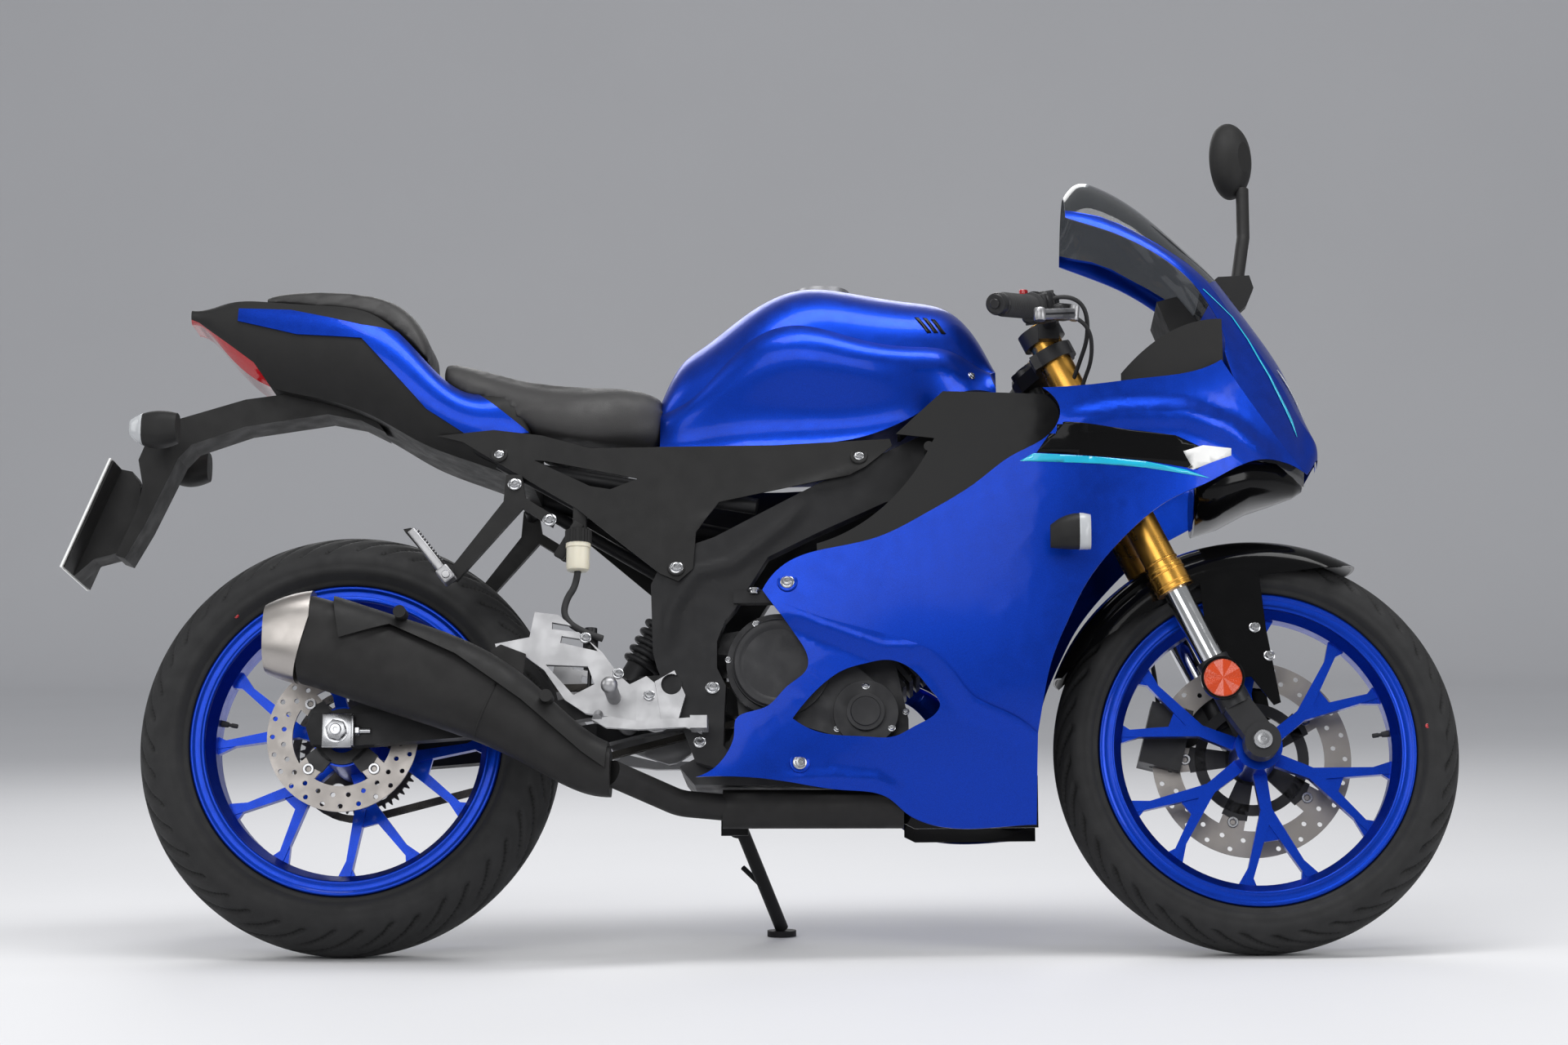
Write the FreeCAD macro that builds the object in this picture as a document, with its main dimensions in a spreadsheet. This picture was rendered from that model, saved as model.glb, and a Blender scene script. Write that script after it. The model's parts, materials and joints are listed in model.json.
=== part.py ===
import FreeCAD, Part
import math
import os

# A small sport bike, parked on its side stand.
# It is drawn upright: +X forward, +Y to the rider's left, +Z up, with x = 0 midway
# between the axles and z = 0 on the ground. The whole bike is then leaned onto its
# stand, and moved so that its origin is under the middle of its outer box.

V = FreeCAD.Vector
doc = FreeCAD.newDocument("sport_bike")
sheet = doc.addObject("Spreadsheet::Sheet", "sizes")

SIZES = [
    ("wheelbase", 1325.0, "between the two axles"),
    ("lean_angle", 13.0, "degrees, to the left, onto the side stand"),
    ("front_tyre_radius", 294.0, "100/80-17"),
    ("front_tyre_width", 100.0, "over the tread"),
    ("front_crown_radius", 56.0, "of the tread, seen along the tyre"),
    ("rear_tyre_radius", 311.0, "140/70-17"),
    ("rear_tyre_width", 140.0, "over the tread"),
    ("rear_crown_radius", 80.0, "of the tread, seen along the tyre"),
    ("rim_flange_radius", 229.0, "outside of both rims"),
    ("rim_seat_radius", 217.0, "where the tyre's beads sit"),
    ("rim_wall", 5.0, "of both rims"),
    ("bead_gap", 0.3, "between a tyre's beads and its rim"),
    ("front_rim_width", 72.0, "over the flanges"),
    ("rear_rim_width", 104.0, "over the flanges"),
    ("tyre_facets", 44, "flat faces round each tyre"),
    ("tyre_wall", 9.0, "of both tyres"),
    ("spoke_pairs", 6, "forked spokes in each wheel"),
    ("spoke_depth", 17.0, "of a spoke, along the axle"),
    ("front_fork_point", 92.0, "radius where a front spoke forks"),
    ("rear_fork_point", 84.0, "radius where a rear spoke forks"),
    ("front_fork_spread", 27.0, "degrees between a front spoke's two ends"),
    ("rear_fork_spread", 30.0, "degrees between a rear spoke's two ends"),
    ("spoke_arm_width", 17.0, "of a spoke before it forks"),
    ("spoke_tine_width", 8.5, "of each branch"),
    ("front_hub_radius", 34.0, "outside of the hub"),
    ("front_hub_width", 115.4, "along the axle"),
    ("rear_hub_radius", 44.0, "outside of the hub"),
    ("rear_hub_width", 155.4, "along the axle"),
    ("front_axle_radius", 8.0, "of the spindle"),
    ("rear_axle_radius", 9.0, "of the spindle"),
    ("axle_clearance", 0.05, "between a spindle and its hub"),
    ("front_disc_radius", 146.0, "outside of the brake disc"),
    ("front_disc_inner", 112.0, "inside of its swept band"),
    ("front_disc_offset", 60.0, "disc's middle from the wheel's middle"),
    ("rear_disc_radius", 110.0, "outside of the brake disc"),
    ("rear_disc_inner", 78.0, "inside of its swept band"),
    ("rear_disc_offset", 80.0, "disc's middle from the wheel's middle"),
    ("disc_thickness", 4.5, "of both discs"),
    ("disc_holes", 24, "drilled holes round each disc"),
    ("disc_hole_radius", 3.6, "of each hole"),
    ("rake_angle", 26.0, "degrees, of the steering axis"),
    ("trail", 95.0, "from the steering axis to the front contact"),
    ("clamp_offset", 35.0, "fork legs ahead of the steering axis"),
    ("fork_spread", 196.0, "between the fork legs' axes"),
    ("outer_tube_radius", 24.5, "of the upper fork tube"),
    ("seal_head_radius", 27.5, "of its lower end"),
    ("stanchion_radius", 18.5, "of the bright inner tube"),
    ("fork_foot_radius", 24.0, "of the cast lower end"),
    ("fork_top_height", 893.0, "top of the upper tubes"),
    ("seal_height", 500.0, "lower end of the upper tubes"),
    ("foot_height", 398.0, "top of the cast lower ends"),
    ("top_clamp_height", 846.0, "of the upper clamp"),
    ("low_clamp_height", 690.0, "of the lower clamp"),
    ("clamp_thickness", 30.0, "of both clamps"),
    ("head_radius", 30.0, "outside of the steering head tube"),
    ("stem_radius", 15.0, "of the steering stem"),
    ("running_gap", 1.5, "between a turning piece and what stands beside it"),
    ("pivot_x", -180.0, "swingarm pivot, from the middle of the wheelbase"),
    ("pivot_z", 372.0, "swingarm pivot above the ground"),
    ("pivot_radius", 15.0, "of the swingarm's pivot tube"),
    ("arm_gap", 200.0, "between the swingarm's two arms"),
    ("arm_width", 26.0, "of each arm"),
    ("chain_pitch", 12.7, "of the drive chain"),
    ("chain_plane", 84.0, "chain's middle from the bike's middle"),
    ("sprocket_teeth", 48, "on the rear wheel"),
    ("drive_teeth", 14, "on the engine"),
    ("sprocket_thickness", 6.0, "of both sprockets"),
    ("link_half_width", 4.8, "of the chain, between its outer plates"),
    ("link_plate_wall", 1.5, "of the chain's outer plates"),
    ("plate_height", 11.0, "of the chain's link plates"),
    ("shell_wall", 3.0, "of the painted panels"),
    ("fairing_half_width", 205.0, "at the widest of the side fairing"),
    ("tank_half_width", 160.0, "at the widest of the tank cover"),
    ("tail_half_width", 108.0, "at the widest of the tail"),
    ("frame_half_width", 140.0, "outside of the frame"),
    ("guard_half_width", 66.0, "inside of the front mudguard"),
    ("grip_radius", 16.0, "of the handlebar grips"),
    ("bar_radius", 11.0, "of the handlebar tubes"),
    ("grip_length", 118.0, "of each grip"),
    ("muffler_offset", 190.0, "muffler's middle from the bike's middle"),
    ("muffler_height", 128.0, "of the muffler's section"),
    ("muffler_width", 96.0, "of the muffler's section"),
    ("pipe_radius", 19.0, "of the exhaust header"),
    ("catalyst_radius", 28.0, "of the box under the engine"),
    ("peg_radius", 10.0, "of the foot pegs"),
    ("peg_length", 88.0, "of the rider's foot pegs"),
    ("stand_reach", 262.0, "stand foot from the bike's middle"),
    ("stand_tube_radius", 10.0, "of the side stand's leg"),
]

size = {}
for row, (alias, number, note) in enumerate(SIZES, start=1):
    sheet.set(f"A{row}", alias)
    sheet.set(f"B{row}", str(number))
    sheet.set(f"C{row}", note)
    sheet.setAlias(f"B{row}", alias)
    size[alias] = number
doc.recompute()

S = type("Sizes", (), size)
LEAN = math.radians(S.lean_angle)
RAKE = math.radians(S.rake_angle)
REAR_X = -S.wheelbase / 2
FRONT_X = S.wheelbase / 2
REAR_AXLE = V(REAR_X, 0, S.rear_tyre_radius)
# A leaned tyre's lowest point is on its round shoulder, and the wider tyre sinks more.
CROWN_DROP = (S.rear_crown_radius - S.front_crown_radius) * (1 / math.cos(LEAN) - 1)
FRONT_AXLE = V(FRONT_X, 0, S.front_tyre_radius - CROWN_DROP)
STEER_UP = V(-math.sin(RAKE), 0, math.cos(RAKE))
STEER_AHEAD = V(math.cos(RAKE), 0, math.sin(RAKE))


def steer_x(height):
    """Where the steering axis is, at a height above the ground."""
    return FRONT_X + S.trail - height * math.tan(RAKE)


def on_steering(height, ahead=0.0, side=0.0):
    """A point by the steering axis: ahead is measured square to the axis."""
    return V(steer_x(height), side, height) + STEER_AHEAD * ahead


parts = {}


def keep(label, obj):
    """Names a document object as a finished piece of the bike."""
    obj.Label = label
    parts[label] = obj
    return obj


def feature(name, shape):
    """A document object that holds a shape made with Part's own functions."""
    obj = doc.addObject("Part::Feature", name)
    obj.Shape = shape
    return obj


def cylinder(start, end, radius):
    axis = end - start
    return Part.makeCylinder(radius, axis.Length, start, axis)


def tube(start, end, radius, wall):
    outer = cylinder(start, end, radius)
    return outer.cut(cylinder(start, end, radius - wall))


def block(low, high):
    return Part.makeBox(high[0] - low[0], high[1] - low[1], high[2] - low[2], V(*low))


def fused(shapes):
    whole = shapes[0]
    for shape in shapes[1:]:
        whole = whole.fuse(shape)
    return whole.removeSplitter()


def biggest(shape):
    """The largest solid of a shape that a cut has left in pieces."""
    return max(shape.Solids, key=lambda solid: solid.Volume)


def mirrored(shape):
    """The same shape on the other side of the bike."""
    return shape.mirror(V(0, 0, 0), V(0, 1, 0))


def run_edges(runs, place):
    """Edges along runs of points: two points make a line, more make a smooth curve."""
    edges = []
    for run in runs:
        points = [place(*p) for p in run]
        if len(points) == 2:
            edges.append(Part.makeLine(*points))
        else:
            curve = Part.BSplineCurve()
            curve.interpolate(points)
            edges.append(curve.toShape())
    return edges


def side_prism(runs, low, high):
    """A side-view outline, given as runs of (x, z), stretched from y = low to y = high."""
    wire = Part.Wire(run_edges(runs, lambda x, z: V(x, low, z)))
    return Part.Face(wire).extrude(V(0, high - low, 0))


def polygon_prism(points, low, high):
    """The same for an outline with only straight sides."""
    wire = Part.makePolygon([V(x, low, z) for x, z in points + points[:1]])
    return Part.Face(wire).extrude(V(0, high - low, 0))


def plan_prism(points, low, high):
    """A plan-view outline of (x, y) points, stretched from z = low to z = high."""
    wire = Part.makePolygon([V(x, y, low) for x, y in points + points[:1]])
    return Part.Face(wire).extrude(V(0, 0, high - low))


def swept_tube(points, radius, bend):
    """A round bar along straight runs joined by arcs of radius bend."""
    edges = []
    begin = points[0]
    for before, corner, after in zip(points, points[1:], points[2:]):
        back = (before - corner).normalize()
        ahead = (after - corner).normalize()
        half = back.getAngle(ahead) / 2
        set_off = bend / math.tan(half)
        first = corner + back * set_off
        last = corner + ahead * set_off
        middle_way = (back + ahead).normalize()
        middle = corner + middle_way * (bend / math.sin(half) - bend)
        edges.append(Part.makeLine(begin, first))
        edges.append(Part.Arc(first, middle, last).toShape())
        begin = last
    edges.append(Part.makeLine(begin, points[-1]))
    path = Part.Wire(edges)
    way = points[1] - points[0]
    ring = Part.Wire(Part.makeCircle(radius, points[0], way))
    return path.makePipeShell([ring], True, False)


def section_wire(station, profile, wall):
    """A thin closed band in the plane x = station: the profile and its inner offset."""
    edges = []
    inner_runs = []
    for run in profile:
        points = [V(station, y, z) for y, z in run]
        inner = []
        for index, point in enumerate(points):
            ahead = points[min(index + 1, len(points) - 1)]
            back = points[max(index - 1, 0)]
            along = (ahead - back).normalize()
            inner.append(point + V(0, -along.z, along.y) * wall)
        inner_runs.append(inner)
    for one, two in zip(inner_runs, inner_runs[1:]):
        joint = (one[-1] + two[0]) * 0.5
        one[-1] = joint
        two[0] = joint
    for run in profile:
        points = [V(station, y, z) for y, z in run]
        edges.append(smooth_edge(points))
    first_outer = V(station, *profile[0][0])
    last_outer = V(station, *profile[-1][-1])
    edges.append(Part.makeLine(last_outer, inner_runs[-1][-1]))
    for inner in reversed(inner_runs):
        edges.append(smooth_edge(list(reversed(inner))))
    edges.append(Part.makeLine(inner_runs[0][0], first_outer))
    return Part.Wire(edges)


def smooth_edge(points):
    if len(points) == 2:
        return Part.makeLine(*points)
    curve = Part.BSplineCurve()
    curve.interpolate(points)
    return curve.toShape()


def panel_skin(stations, wall):
    """A thin curved panel through profiles at stations along the bike (left side, +Y)."""
    return Part.makeLoft([section_wire(x, p, wall) for x, p in stations], True, False)


def solid_skin(stations):
    """A solid through closed sections at stations along the bike."""
    wires = []
    for x, profile in stations:
        left = [V(x, y, z) for y, z in profile]
        right = [V(x, -y, z) for y, z in reversed(profile)]
        edges = [smooth_edge(left)]
        edges.append(Part.makeLine(left[-1], right[0]))
        edges.append(smooth_edge(right))
        edges.append(Part.makeLine(right[-1], left[0]))
        wires.append(Part.Wire(edges))
    return Part.makeLoft(wires, True, False)


def new_body(name):
    body = doc.addObject("PartDesign::Body", name)
    planes = {o.Role: o for o in body.Origin.OriginFeatures}
    return body, planes


def add_sketch(body, planes, plane, name, edges):
    sketch = body.newObject("Sketcher::SketchObject", name)
    sketch.AttachmentSupport = [(planes[plane], "")]
    sketch.MapMode = "FlatFace"
    for edge in edges:
        sketch.addGeometry(edge, False)
    return sketch


def polygon_edges(points):
    """Sketch lines round a closed polygon of (u, v) points."""
    ring = [V(u, v, 0) for u, v in points]
    return [Part.LineSegment(a, b) for a, b in zip(ring, ring[1:] + ring[:1])]


def add_pad(body, sketch, name, length):
    pad = body.newObject("PartDesign::Pad", name)
    pad.Profile = sketch
    if isinstance(length, str):
        pad.setExpression("Length", length)
    else:
        pad.Length = length
    pad.SideType = "Symmetric"
    return pad


def add_pocket(body, sketch, name):
    pocket = body.newObject("PartDesign::Pocket", name)
    pocket.Profile = sketch
    pocket.Type = "ThroughAll"
    pocket.SideType = "Symmetric"
    return pocket


def add_polar(body, planes, feature_in, name, count):
    polar = body.newObject("PartDesign::PolarPattern", name)
    polar.Originals = [feature_in]
    polar.Axis = (planes["Y_Axis"], [""])
    polar.Angle = 360
    polar.Occurrences = int(count)
    body.Tip = polar
    return polar


def circle_edge(u, v, radius):
    return Part.Circle(V(u, v, 0), V(0, 0, 1), radius)


# Wheels

def rim_body(label, axle, width, hub_radius, hub_width, axle_radius, fork_point, spread, turn):
    """A cast wheel: a drop-centre rim, a hub and forked spokes, spun about its axle."""
    body, planes = new_body(label)
    half = width / 2
    flange = S.rim_flange_radius
    seat = S.rim_seat_radius
    wall = S.rim_wall
    well = seat - 16
    rim_line = [
        (half, flange), (half, seat - wall), (half * 0.45, well - wall),
        (-half * 0.45, well - wall), (-half, seat - wall), (-half, flange),
        (-half + wall, flange), (-half + wall, seat), (-half * 0.55, seat),
        (-half * 0.4, well), (half * 0.4, well), (half * 0.55, seat),
        (half - wall, seat), (half - wall, flange),
    ]
    rim = add_sketch(body, planes, "YZ_Plane", label + "_section", polygon_edges(rim_line))
    ring = body.newObject("PartDesign::Revolution", label + "_ring")
    ring.Profile = rim
    ring.ReferenceAxis = (planes["Y_Axis"], [""])
    ring.Angle = 360
    bore = axle_radius + S.axle_clearance
    reach = well - wall + 2
    arm = S.spoke_arm_width / 2
    tine = S.spoke_tine_width / 2
    tilt = math.radians(spread) / 2
    tip = V(reach * math.cos(tilt), reach * math.sin(tilt), 0)
    crotch = V(fork_point, 0, 0)
    way = (tip - crotch).normalize()
    across = V(-way.y, way.x, 0)
    outer_low = crotch + V(-arm * 0.8, arm, 0)
    outer_tip = tip + across * tine * 1.15
    inner_tip = tip - across * tine * 1.15
    notch = V(fork_point + 16, 0, 0)
    half_line = [V(hub_radius - 4, arm * 1.15, 0), outer_low, outer_tip, inner_tip, notch]
    mirror_line = [V(p.x, -p.y, 0) for p in reversed(half_line[:-1])]
    points = [(p.x, p.y) for p in half_line + mirror_line]
    spoke_sketch = add_sketch(body, planes, "XZ_Plane", label + "_spoke", polygon_edges(points))
    spoke = add_pad(body, spoke_sketch, label + "_spoke_pad", "sizes.spoke_depth")
    add_polar(body, planes, spoke, label + "_spokes", S.spoke_pairs)
    hub_sketch = add_sketch(
        body, planes, "XZ_Plane", label + "_hub", [circle_edge(0, 0, hub_radius)]
    )
    hub = add_pad(body, hub_sketch, label + "_hub_pad", hub_width)
    bore_sketch = add_sketch(
        body, planes, "XZ_Plane", label + "_bore", [circle_edge(0, 0, bore)]
    )
    hole = add_pocket(body, bore_sketch, label + "_bore_cut")
    body.Tip = hole
    body.Placement = FreeCAD.Placement(axle, FreeCAD.Rotation(V(0, 1, 0), turn))
    return keep(label, body)


def tyre_profile(radius, width, crown, rim_width):
    """Half of a tyre's section as (half-width, radius), from its crown to its inside."""
    half = width / 2
    bead_y = rim_width / 2 - S.rim_wall - S.bead_gap
    bead = S.rim_seat_radius + S.bead_gap
    flange = S.rim_flange_radius + S.bead_gap
    shoulder = math.asin(half * 0.94 / crown)
    tread = []
    for angle in (LEAN, (LEAN + shoulder) / 2, shoulder):
        tread.append((crown * math.sin(angle), radius - crown + crown * math.cos(angle)))
    shoulder_y, shoulder_z = tread[-1]
    return tread + [
        (half, (shoulder_z + flange) / 2 + 4), (bead_y, flange), (bead_y, bead),
        (bead_y - S.tyre_wall, bead), (shoulder_y - S.tyre_wall, shoulder_z - S.tyre_wall),
    ]


def tyre(label, axle, radius, width, crown, rim_width):
    """A tyre turned in flat faces: round tread, sidewalls down to its beads, open inside."""
    one_side = tyre_profile(radius, width, crown, rim_width)
    profile = one_side + [(-y, r) for y, r in reversed(one_side)]
    count = int(S.tyre_facets)
    step = 2 * math.pi / count
    stretch = 1 / math.cos(step / 2)

    def corner(index, turn):
        y, r = profile[index % len(profile)]
        angle = (turn + 0.5) * step
        return V(r * stretch * math.cos(angle), y, r * stretch * math.sin(angle))

    faces = []
    for turn in range(count):
        for index in range(len(profile)):
            ring = [
                corner(index, turn), corner(index + 1, turn), corner(index + 1, turn + 1),
                corner(index, turn + 1),
            ]
            faces.append(Part.Face(Part.makePolygon(ring + ring[:1])))
    solid = Part.makeSolid(Part.makeShell(faces))
    if solid.Volume < 0:
        solid.reverse()
    obj = keep(label, feature(label, solid))
    obj.Placement = FreeCAD.Placement(axle, FreeCAD.Rotation())
    return obj


def brake_disc(label, axle, offset, radius, inner, hub_radius, bolts):
    """A drilled disc: a swept band on a spidered carrier that bolts to the hub."""
    body, planes = new_body(label)
    outline = add_sketch(
        body, planes, "XZ_Plane", label + "_outline",
        [circle_edge(0, 0, radius), circle_edge(0, 0, hub_radius)],
    )
    add_pad(body, outline, label + "_plate", "sizes.disc_thickness")
    mouth = inner - 5
    root = hub_radius + 14
    sweep = math.radians(360 / bolts) * 0.36
    ends = [(mouth, -sweep), (mouth, sweep), (root, sweep * 0.72), (root, -sweep * 0.72)]
    corners = [(r * math.cos(a), r * math.sin(a)) for r, a in ends]
    mouth_arc = Part.Arc(V(*corners[0], 0), V(mouth, 0, 0), V(*corners[1], 0))
    root_arc = Part.Arc(V(*corners[2], 0), V(root, 0, 0), V(*corners[3], 0))
    window_edges = [
        mouth_arc, Part.LineSegment(V(*corners[1], 0), V(*corners[2], 0)),
        root_arc, Part.LineSegment(V(*corners[3], 0), V(*corners[0], 0)),
    ]
    window = add_sketch(body, planes, "XZ_Plane", label + "_window", window_edges)
    window_cut = add_pocket(body, window, label + "_window_cut")
    add_polar(body, planes, window_cut, label + "_windows", bolts)
    middle = (radius + inner) / 2
    rows = [
        circle_edge(middle + 8, 0, S.disc_hole_radius),
        circle_edge(
            (middle - 8) * math.cos(math.radians(180 / S.disc_holes)),
            (middle - 8) * math.sin(math.radians(180 / S.disc_holes)),
            S.disc_hole_radius,
        ),
    ]
    hole = add_sketch(body, planes, "XZ_Plane", label + "_hole", rows)
    hole_cut = add_pocket(body, hole, label + "_hole_cut")
    add_polar(body, planes, hole_cut, label + "_holes", S.disc_holes)
    body.Placement = FreeCAD.Placement(axle + V(0, offset, 0), FreeCAD.Rotation())
    return keep(label, body)


def make_wheels():
    rim_body(
        "front_rim", FRONT_AXLE, S.front_rim_width, S.front_hub_radius, S.front_hub_width,
        S.front_axle_radius, S.front_fork_point, S.front_fork_spread, 21.6,
    )
    rim_body(
        "rear_rim", REAR_AXLE, S.rear_rim_width, S.rear_hub_radius, S.rear_hub_width,
        S.rear_axle_radius, S.rear_fork_point, S.rear_fork_spread, 15.0,
    )
    tyre(
        "front_tyre", FRONT_AXLE, S.front_tyre_radius, S.front_tyre_width,
        S.front_crown_radius, S.front_rim_width,
    )
    tyre(
        "rear_tyre", REAR_AXLE, S.rear_tyre_radius, S.rear_tyre_width,
        S.rear_crown_radius, S.rear_rim_width,
    )
    brake_disc(
        "front_disc", FRONT_AXLE, S.front_disc_offset, S.front_disc_radius,
        S.front_disc_inner, 22.0, 5,
    )
    brake_disc(
        "rear_disc", REAR_AXLE, -S.rear_disc_offset, S.rear_disc_radius,
        S.rear_disc_inner, 24.0, 4,
    )


# The frame's outlines below are drawn in side view as (x, z), for a bike whose swingarm
# pivot and steering head stand where these two values say. Drawn points follow the real
# pivot and head when the wheelbase, the trail or the rake changes.
DRAWN_PIVOT_X = -180.0
DRAWN_HEAD_X = 367.3
DRAWN_LOW_CLAMP = 690.0
DRAWN_TOP_CLAMP = 846.0
HEAD_X = steer_x(800.0)
STRETCH = (HEAD_X - S.pivot_x) / (DRAWN_HEAD_X - DRAWN_PIVOT_X)


def fx(x):
    """The real x of a drawn x."""
    if x <= DRAWN_PIVOT_X:
        return x - DRAWN_PIVOT_X + S.pivot_x
    if x >= DRAWN_HEAD_X:
        return x - DRAWN_HEAD_X + HEAD_X
    return S.pivot_x + (x - DRAWN_PIVOT_X) * STRETCH


def drawn(points):
    return [(fx(x), z) for x, z in points]


def drawn_runs(runs):
    return [drawn(run) for run in runs]


# Swingarm, chain and final drive

DRIVE_CENTRE = V(fx(-100.0), 0, S.pivot_z + 13)


def pitch_radius(teeth):
    return S.chain_pitch / (2 * math.sin(math.pi / teeth))


def sprocket(label, centre, teeth, tip, root, bore):
    """A toothed ring, its teeth cut round so that they stay inside the chain's rollers."""
    body, planes = new_body(label)
    step = 2 * math.pi / teeth
    points = []
    for tooth in range(teeth):
        for radius, share in ((root, 0.2), (tip, 0.42), (tip, 0.58), (root, 0.8)):
            angle = (tooth + share) * step
            points.append((radius * math.cos(angle), radius * math.sin(angle)))
    outline = add_sketch(body, planes, "XZ_Plane", label + "_teeth", polygon_edges(points))
    add_pad(body, outline, label + "_plate", "sizes.sprocket_thickness")
    body_hole = add_sketch(body, planes, "XZ_Plane", label + "_bore", [circle_edge(0, 0, bore)])
    body.Tip = add_pocket(body, body_hole, label + "_bore_cut")
    body.Placement = FreeCAD.Placement(centre, FreeCAD.Rotation())
    return body, planes


def rear_sprocket():
    tip = pitch_radius(S.sprocket_teeth) - S.plate_height / 2 - S.running_gap
    centre = REAR_AXLE + V(0, S.chain_plane, 0)
    body, planes = sprocket("rear_sprocket", centre, int(S.sprocket_teeth), tip, tip - 7, 24.0)
    window = add_sketch(
        body, planes, "XZ_Plane", "sprocket_window", [circle_edge(64.0, 0, 13.0)]
    )
    cut = add_pocket(body, window, "sprocket_window_cut")
    add_polar(body, planes, cut, "sprocket_windows", 6)
    carrier = body.newObject("Sketcher::SketchObject", "carrier")
    carrier.AttachmentSupport = [(planes["XZ_Plane"], "")]
    carrier.MapMode = "FlatFace"
    carrier.addGeometry(circle_edge(0, 0, 42.0), False)
    carrier.addGeometry(circle_edge(0, 0, 24.0), False)
    inner_end = S.chain_plane - S.rear_hub_width / 2
    pad = body.newObject("PartDesign::Pad", "carrier_pad")
    pad.Profile = carrier
    pad.Length = inner_end
    pad.Reversed = False
    doc.recompute()
    if body.Shape.BoundBox.YMin > centre.y - inner_end + 0.5:
        pad.Reversed = True
    body.Tip = pad
    keep("rear_sprocket", body)


def chain_path():
    """The chain's closed path in side view, as a function of the length along it."""
    big = pitch_radius(S.sprocket_teeth)
    small = pitch_radius(S.drive_teeth)
    rear = V(REAR_AXLE.x, 0, REAR_AXLE.z)
    drive = V(DRIVE_CENTRE.x, 0, DRIVE_CENTRE.z)
    line = drive - rear
    span = line.Length
    tilt = math.atan2(line.z, line.x)
    lean = math.asin((big - small) / span)
    straight = math.sqrt(span ** 2 - (big - small) ** 2)
    top = tilt + math.pi / 2 - lean
    low = tilt - math.pi / 2 + lean
    wrap_small = top - low
    wrap_big = 2 * math.pi - wrap_small
    total = 2 * straight + small * wrap_small + big * wrap_big

    def spot(length):
        length = length % total
        if length < straight:
            start = rear + V(math.cos(top), 0, math.sin(top)) * big
            way = top - math.pi / 2
            return start + V(math.cos(way), 0, math.sin(way)) * length, way
        length -= straight
        if length < small * wrap_small:
            angle = top - length / small
            return drive + V(math.cos(angle), 0, math.sin(angle)) * small, angle - math.pi / 2
        length -= small * wrap_small
        if length < straight:
            start = drive + V(math.cos(low), 0, math.sin(low)) * small
            way = low - math.pi / 2
            return start + V(math.cos(way), 0, math.sin(way)) * length, way
        length -= straight
        angle = low - length / big
        return rear + V(math.cos(angle), 0, math.sin(angle)) * big, angle - math.pi / 2

    return total, spot


def link_plate(pitch, height, low, high):
    """A link plate with pointed ends, lying along X between its two pins."""
    half = pitch / 2
    tip = half + height * 0.42
    points = [
        (-tip, 0), (-half, height / 2), (half, height / 2),
        (tip, 0), (half, -height / 2), (-half, -height / 2),
    ]
    return polygon_prism(points, low, high)


def drive_chain():
    """Solid inner links and pairs of outer plates by turns, along the path."""
    total, spot = chain_path()
    links = 2 * round(total / S.chain_pitch / 2)
    pitch = total / links
    plate = S.link_plate_wall
    inner_half = S.link_half_width
    solids = []
    for link in range(links):
        begin = spot(link * pitch)[0]
        end = spot((link + 1) * pitch)[0]
        middle = (begin + end) * 0.5
        way = math.degrees(math.atan2(end.z - begin.z, end.x - begin.x))
        length = (end - begin).Length
        if link % 2:
            shapes = [
                link_plate(length, S.plate_height, -inner_half - plate, -inner_half),
                link_plate(length, S.plate_height, inner_half, inner_half + plate),
            ]
        else:
            reach = length / 2 + S.plate_height * 0.3
            rise = S.plate_height / 2 - 0.5
            shapes = [block((-reach, -inner_half, -rise), (reach, inner_half, rise))]
        for shape in shapes:
            shape.rotate(V(0, 0, 0), V(0, 1, 0), -way)
            shape.translate(middle + V(0, S.chain_plane, 0))
            solids.append(shape)
    keep("chain", feature("chain", Part.makeCompound(solids)))
    print("chain links", links, "pitch", round(pitch, 3))


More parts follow.
